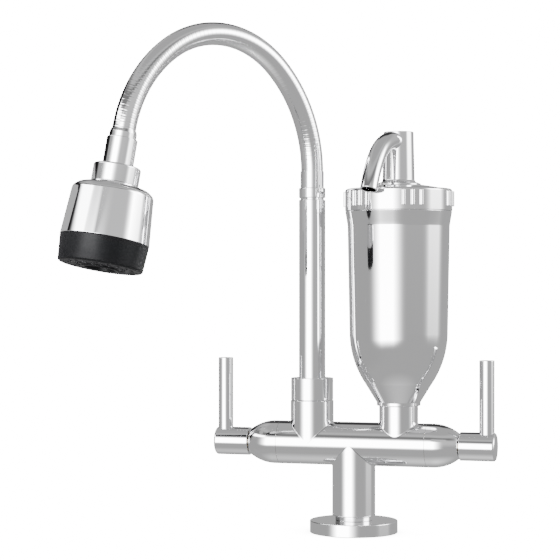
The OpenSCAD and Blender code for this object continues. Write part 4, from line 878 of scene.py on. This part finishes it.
# round array: one small turned shape, copied round a ring and made real
def ringArrayTree():
    tree = bpy.data.node_groups.new("ringArray", "GeometryNodeTree")
    newSocket(tree, "Geometry", "INPUT", "NodeSocketGeometry")
    newSocket(tree, "Groups", "INPUT", "NodeSocketInt", 6)
    newSocket(tree, "In Group", "INPUT", "NodeSocketInt", 3)
    newSocket(tree, "Pitch", "INPUT", "NodeSocketFloat", 0.17)
    newSocket(tree, "Turn", "INPUT", "NodeSocketFloat", 0.0)
    newSocket(tree, "Finish", "INPUT", "NodeSocketMaterial")
    newSocket(tree, "Geometry", "OUTPUT", "NodeSocketGeometry")
    links = tree.links
    inn = addNode(tree, "NodeGroupInput").outputs
    out = addNode(tree, "NodeGroupOutput")
    count = mathNode(tree, "MULTIPLY", inn["Groups"], inn["In Group"])
    line = addNode(tree, "GeometryNodeMeshLine")
    links.new(count, line.inputs["Count"])
    line.inputs["Offset"].default_value = (0, 0, 0)
    index = addNode(tree, "GeometryNodeInputIndex").outputs[0]
    member = mathNode(tree, "MODULO", index, inn["In Group"])
    groupNo = mathNode(tree, "FLOOR", mathNode(tree, "DIVIDE", index, inn["In Group"]))
    middle = mathNode(tree, "MULTIPLY", mathNode(tree, "SUBTRACT", inn["In Group"], 1), 0.5)
    inGroup = mathNode(tree, "MULTIPLY", mathNode(tree, "SUBTRACT", member, middle), inn["Pitch"])
    groupTurn = mathNode(tree, "MULTIPLY", mathNode(tree, "DIVIDE", groupNo, inn["Groups"]), 2 * math.pi)
    angle = mathNode(tree, "ADD", mathNode(tree, "ADD", groupTurn, inGroup), inn["Turn"])
    spin = addNode(tree, "ShaderNodeCombineXYZ")
    links.new(angle, spin.inputs["Z"])
    copies = addNode(tree, "GeometryNodeInstanceOnPoints")
    links.new(line.outputs["Mesh"], copies.inputs["Points"])
    links.new(inn["Geometry"], copies.inputs["Instance"])
    links.new(spin.outputs[0], copies.inputs["Rotation"])
    real = addNode(tree, "GeometryNodeRealizeInstances")
    links.new(copies.outputs[0], real.inputs["Geometry"])
    painted = addNode(tree, "GeometryNodeSetMaterial")
    links.new(real.outputs["Geometry"], painted.inputs["Geometry"])
    links.new(inn["Finish"], painted.inputs["Material"])
    links.new(painted.outputs["Geometry"], out.inputs["Geometry"])
    return tree


arrayTree = ringArrayTree()


def arrayedPiece(name, part, place, groups, inGroup, pitch, turn, finish, body, nodes=()):
    source = bpy.data.objects.new(name + "Source", meshFrom(name + "One", [part]))
    bpy.context.collection.objects.link(source)
    mesh = grownMesh(source, arrayTree, {
        "Groups": groups, "In Group": inGroup, "Pitch": math.radians(pitch), "Turn": math.radians(turn),
        "Finish": materials[finish],
    }, name)
    mesh.transform(place)
    return linkPiece(name, mesh, finish, body, nodes)


nozzles = {"count": 18, "rowRadii": (15.9, 21.7), "low": 93.2, "tip": 94.3, "footR": 1.35, "tipR": 0.95, "hole": 0.5}


def makeNozzles():
    n = nozzles
    section = softened([
        (n["hole"], n["low"] + 0.3, 0), (n["hole"], n["low"], 0), (n["footR"], n["low"], 0), (n["tipR"], n["tip"], 0.25),
        (n["hole"], n["tip"], 0.1),
    ])
    for i, radius in enumerate(n["rowRadii"]):
        one = turnedData(section, Matrix.Translation((radius, 0, 0)), 20)
        arrayedPiece("sprayNozzles_" + "ab"[i], one, headPlace, n["count"], 1, 0, i * 10, "rubber", "selector")


makeNozzles()
print("stage: head")

# filter: canister, lid, ring nut, post and outlet nozzle
canister = {
    "lipR": 15.65, "lipLow": 91.7, "lipTop": 94.4, "slope": 34.0, "bowlR": 67.0, "bowlTop": 143.3, "sideSlope": 1.05,
    "sideR": 36.5, "sideTop": 220.0, "shoulder": 230.4, "neckR": 36.55, "rim": 243.0, "wall": 2.0, "floor": 99.9,
}


def makeCanister():
    c = canister
    slope, side = math.radians(c["slope"]), math.radians(c["sideSlope"])
    bowlR = c["sideR"] - (c["sideTop"] - c["bowlTop"]) * math.tan(side) - c["bowlR"] * math.cos(side)
    bowlZ = c["bowlTop"] + c["bowlR"] * math.sin(side)
    outer = arcPoints((bowlR, bowlZ), c["bowlR"], -c["slope"], -c["sideSlope"], 64)
    inner = arcPoints((bowlR, bowlZ), c["bowlR"] - c["wall"], -c["sideSlope"], -c["slope"], 48)
    innerR = c["sideR"] - c["wall"]
    floorR = inner[-1][0] - (inner[-1][1] - c["floor"]) * math.tan(slope)
    section = [
        (13.4, c["lipLow"], 0.2), (c["lipR"], c["lipLow"], 0.5), (c["lipR"], c["lipTop"] - 0.3, 0.9),
    ] + outer + [
        (c["sideR"], c["sideTop"], 6), (c["sideR"] + 0.4, c["sideTop"] + 2.6, 5), (37.8, c["shoulder"] - 2.4, 2.5),
        (38.2, c["shoulder"], 0.25), (c["neckR"], c["shoulder"], 0), (c["neckR"], c["rim"], 0.4), (innerR, c["rim"], 0.3),
        (innerR, c["sideTop"], 0),
    ] + inner + [(floorR, c["floor"], 0), (10.3, c["floor"], 0), (10.3, 93.3, 0), (13.4, 93.3, 0)]
    turnedPiece("canisterShell", softened(section), filterPlace, "chrome", "root", ["canister"], 320)


makeCanister()

thread = {"turns": 2.6, "pitch": 4.0, "radius": 36.5, "ridge": 0.45, "from": 232.0}


def threadTree():
    tree = bpy.data.node_groups.new("neckThread", "GeometryNodeTree")
    newSocket(tree, "Geometry", "INPUT", "NodeSocketGeometry")
    for name, value in (("Turns", 2.5), ("Pitch", 0.004), ("Radius", 0.036), ("Ridge", 0.0005)):
        newSocket(tree, name, "INPUT", "NodeSocketFloat", value)
    newSocket(tree, "Finish", "INPUT", "NodeSocketMaterial")
    newSocket(tree, "Geometry", "OUTPUT", "NodeSocketGeometry")
    links = tree.links
    inn = addNode(tree, "NodeGroupInput").outputs
    out = addNode(tree, "NodeGroupOutput")
    spiral = addNode(tree, "GeometryNodeCurveSpiral")
    spiral.inputs["Resolution"].default_value = 96
    links.new(inn["Turns"], spiral.inputs["Rotations"])
    links.new(inn["Radius"], spiral.inputs["Start Radius"])
    links.new(inn["Radius"], spiral.inputs["End Radius"])
    links.new(mathNode(tree, "MULTIPLY", inn["Turns"], inn["Pitch"]), spiral.inputs["Height"])
    ring = addNode(tree, "GeometryNodeCurvePrimitiveCircle")
    ring.inputs["Resolution"].default_value = 10
    links.new(inn["Ridge"], ring.inputs["Radius"])
    swept = addNode(tree, "GeometryNodeCurveToMesh")
    links.new(spiral.outputs["Curve"], swept.inputs["Curve"])
    links.new(ring.outputs["Curve"], swept.inputs["Profile Curve"])
    swept.inputs["Fill Caps"].default_value = True
    smooth = addNode(tree, "GeometryNodeSetShadeSmooth")
    links.new(swept.outputs["Mesh"], smooth.inputs["Geometry"])
    real = addNode(tree, "GeometryNodeRealizeInstances")
    links.new(smooth.outputs["Geometry"], real.inputs["Geometry"])
    painted = addNode(tree, "GeometryNodeSetMaterial")
    links.new(real.outputs["Geometry"], painted.inputs["Geometry"])
    links.new(inn["Finish"], painted.inputs["Material"])
    links.new(painted.outputs["Geometry"], out.inputs["Geometry"])
    return tree


def makeThread():
    t = thread
    source = bpy.data.objects.new("threadSource", bpy.data.meshes.new("threadSource"))
    bpy.context.collection.objects.link(source)
    mesh = grownMesh(source, threadTree(), {
        "Turns": t["turns"], "Pitch": t["pitch"] * mm, "Radius": t["radius"] * mm, "Ridge": t["ridge"] * mm,
        "Finish": materials["chrome"],
    }, "neckThread")
    mesh.transform(Matrix.Translation((filterX * mm, 0, t["from"] * mm)))
    linkPiece("neckThread", mesh, "chrome", "root")


makeThread()

lid = {"flangeR": 37.0, "flangeZ": 243.05, "plateR": 32.8, "domeR": 142.0, "postZ": 249.4, "footR": 15.9}


def makeLid():
    d = lid
    domeZ = d["postZ"] - math.sqrt(d["domeR"] ** 2 - d["footR"] ** 2)
    edge = math.degrees(math.acos(d["plateR"] / d["domeR"]))
    top = math.degrees(math.acos(d["footR"] / d["domeR"]))
    dome = arcPoints((0, domeZ), d["domeR"], edge, top, 24)
    section = softened([
        (31.0, 230.4, 0), (34.3, 230.4, 0.3), (34.3, d["flangeZ"], 0), (d["flangeR"], d["flangeZ"], 0.2),
        (d["flangeR"], d["flangeZ"] + 1.9, 0.2), (d["plateR"], d["flangeZ"] + 1.9, 0),
    ] + [dome[0]] + dome[1:] + [
        (8.05, d["postZ"], 0.1), (8.05, 240.0, 0), (10.02, 240.0, 0), (10.02, 228.0, 0.2), (13.0, 228.0, 0.2),
        (13.0, 242.0, 0.5), (31.0, 242.0, 0.5),
    ])
    turnedPiece("filterLid", section, filterPlace, "chrome", "lid", ["filter_lid"], 256)


makeLid()

ringNut = {"r": 38.3, "low": 230.7, "top": 246.5, "bore": 37.05, "hole": 33.0, "lip": 245.05,
           "ribs": 3, "groups": 6, "pitch": 9.7, "ribR": 1.35, "ribAt": 38.5, "ribLow": 233.7, "ribTop": 244.7,
           "firstTurn": -3.0}


def makeRingNut():
    r = ringNut
    turnedPiece("capRing", softened([
        (r["bore"], r["low"], 0.2), (r["r"], r["low"], 0.4), (r["r"], r["top"], 1.9), (r["hole"], r["top"], 0.3),
        (r["hole"], r["lip"], 0), (r["bore"], r["lip"], 0),
    ]), filterPlace, "chrome", "ring_nut", ["cap_ring"], 320)
    one = turnedData(softened([
        (0, r["ribLow"], 0), (r["ribR"], r["ribLow"], 0.5), (r["ribR"], r["ribTop"], 0.7), (0, r["ribTop"], 0),
    ]), Matrix.Translation((r["ribAt"], 0, 0)), 40)
    arrayedPiece("capRibs", one, filterPlace, r["groups"], r["ribs"], r["pitch"], r["firstTurn"], "chrome", "ring_nut",
                 ["cap_ring"])


makeRingNut()

post = {"z": 249.4, "h": 37.9, "footR": 15.9, "lowR": 11.5, "topR": 10.7, "tailR": 8.0, "tailZ": 237.4, "bore": 4.5}


def makePost():
    p = post
    z = p["z"]
    turnedPiece("outletPost", softened([
        (p["bore"], p["tailZ"], 0), (p["tailR"], p["tailZ"], 0.3), (p["tailR"], z, 0), (p["footR"], z, 0.15),
        (p["footR"], z + 0.7, 0.4), (13.4, z + 1.75, 0.5), (p["lowR"] + 0.9, z + 1.9, 0.4), (p["lowR"], z + 3.4, 1.2),
        (p["topR"], z + p["h"], 0.6), (0, z + p["h"], 0), (0, 283.4, 0), (p["bore"], 283.4, 0),
    ]), outletPlace, "chrome", "filter_spout", ["outlet_post"], 256)


makePost()

nozzle = {"start": (2.0, 280.2, math.radians(90)), "steps": [(0, 7.1), (34.0, 52.0), (80.0, 19.0)],
          "rootR": 6.6, "mouthR": 6.1, "bore": 4.9, "rings": 90, "sides": 96}


def makeNozzle():
    n = nozzle
    length = sum(stepLength(step) for step in n["steps"])
    stations = []
    for i in range(n["rings"] + 1):
        s = length * i / n["rings"]
        stations.append((s, n["rootR"] + (n["mouthR"] - n["rootR"]) * i / n["rings"], 0))
    edge = 0.35
    rim = []
    for k in range(5):
        t = math.pi / 2 * k / 4
        rim.append((length - edge + edge * math.sin(t), n["mouthR"] - edge + edge * math.cos(t), t))
    outerSteps = [p for p in stations if p[0] < length - edge] + rim
    innerSteps = [(length, n["bore"] + 0.3, 1.6), (length - 0.3, n["bore"], math.pi)]
    innerSteps += [(p[0], n["bore"], math.pi) for p in reversed(stations) if p[0] < length - edge]
    rows, verts, norms, faces = [], [], [], []
    turnOnly = outletPlace.to_3x3().normalized()
    for s, radius, tip in outerSteps + innerSteps:
        u, z, heading = alongPath(n["start"], n["steps"], s)
        across = Vector((math.cos(heading), 0, -math.sin(heading)))
        ahead = Vector((math.sin(heading), 0, math.cos(heading)))
        row = []
        for j in range(n["sides"]):
            a = 2 * math.pi * j / n["sides"]
            spoke = across * math.cos(a) + Vector((0, 1, 0)) * math.sin(a)
            row.append(len(verts))
            verts.append(outletPlace @ (Vector((u, 0, z)) + spoke * radius))
            norms.append((turnOnly @ (spoke * math.cos(tip) + ahead * math.sin(tip))).normalized())
        rows.append(row)
    for low, high in zip(rows, rows[1:] + rows[:1]):
        for j in range(n["sides"]):
            k = (j + 1) % n["sides"]
            faces.append([low[j], low[k], high[k], high[j]])
    mesh = meshFrom("outletNozzle", [(verts, norms, faces)])
    linkPiece("outletNozzle", mesh, "chrome", "filter_spout", ["outlet_nozzle"])


makeNozzle()
print("stage: filter")
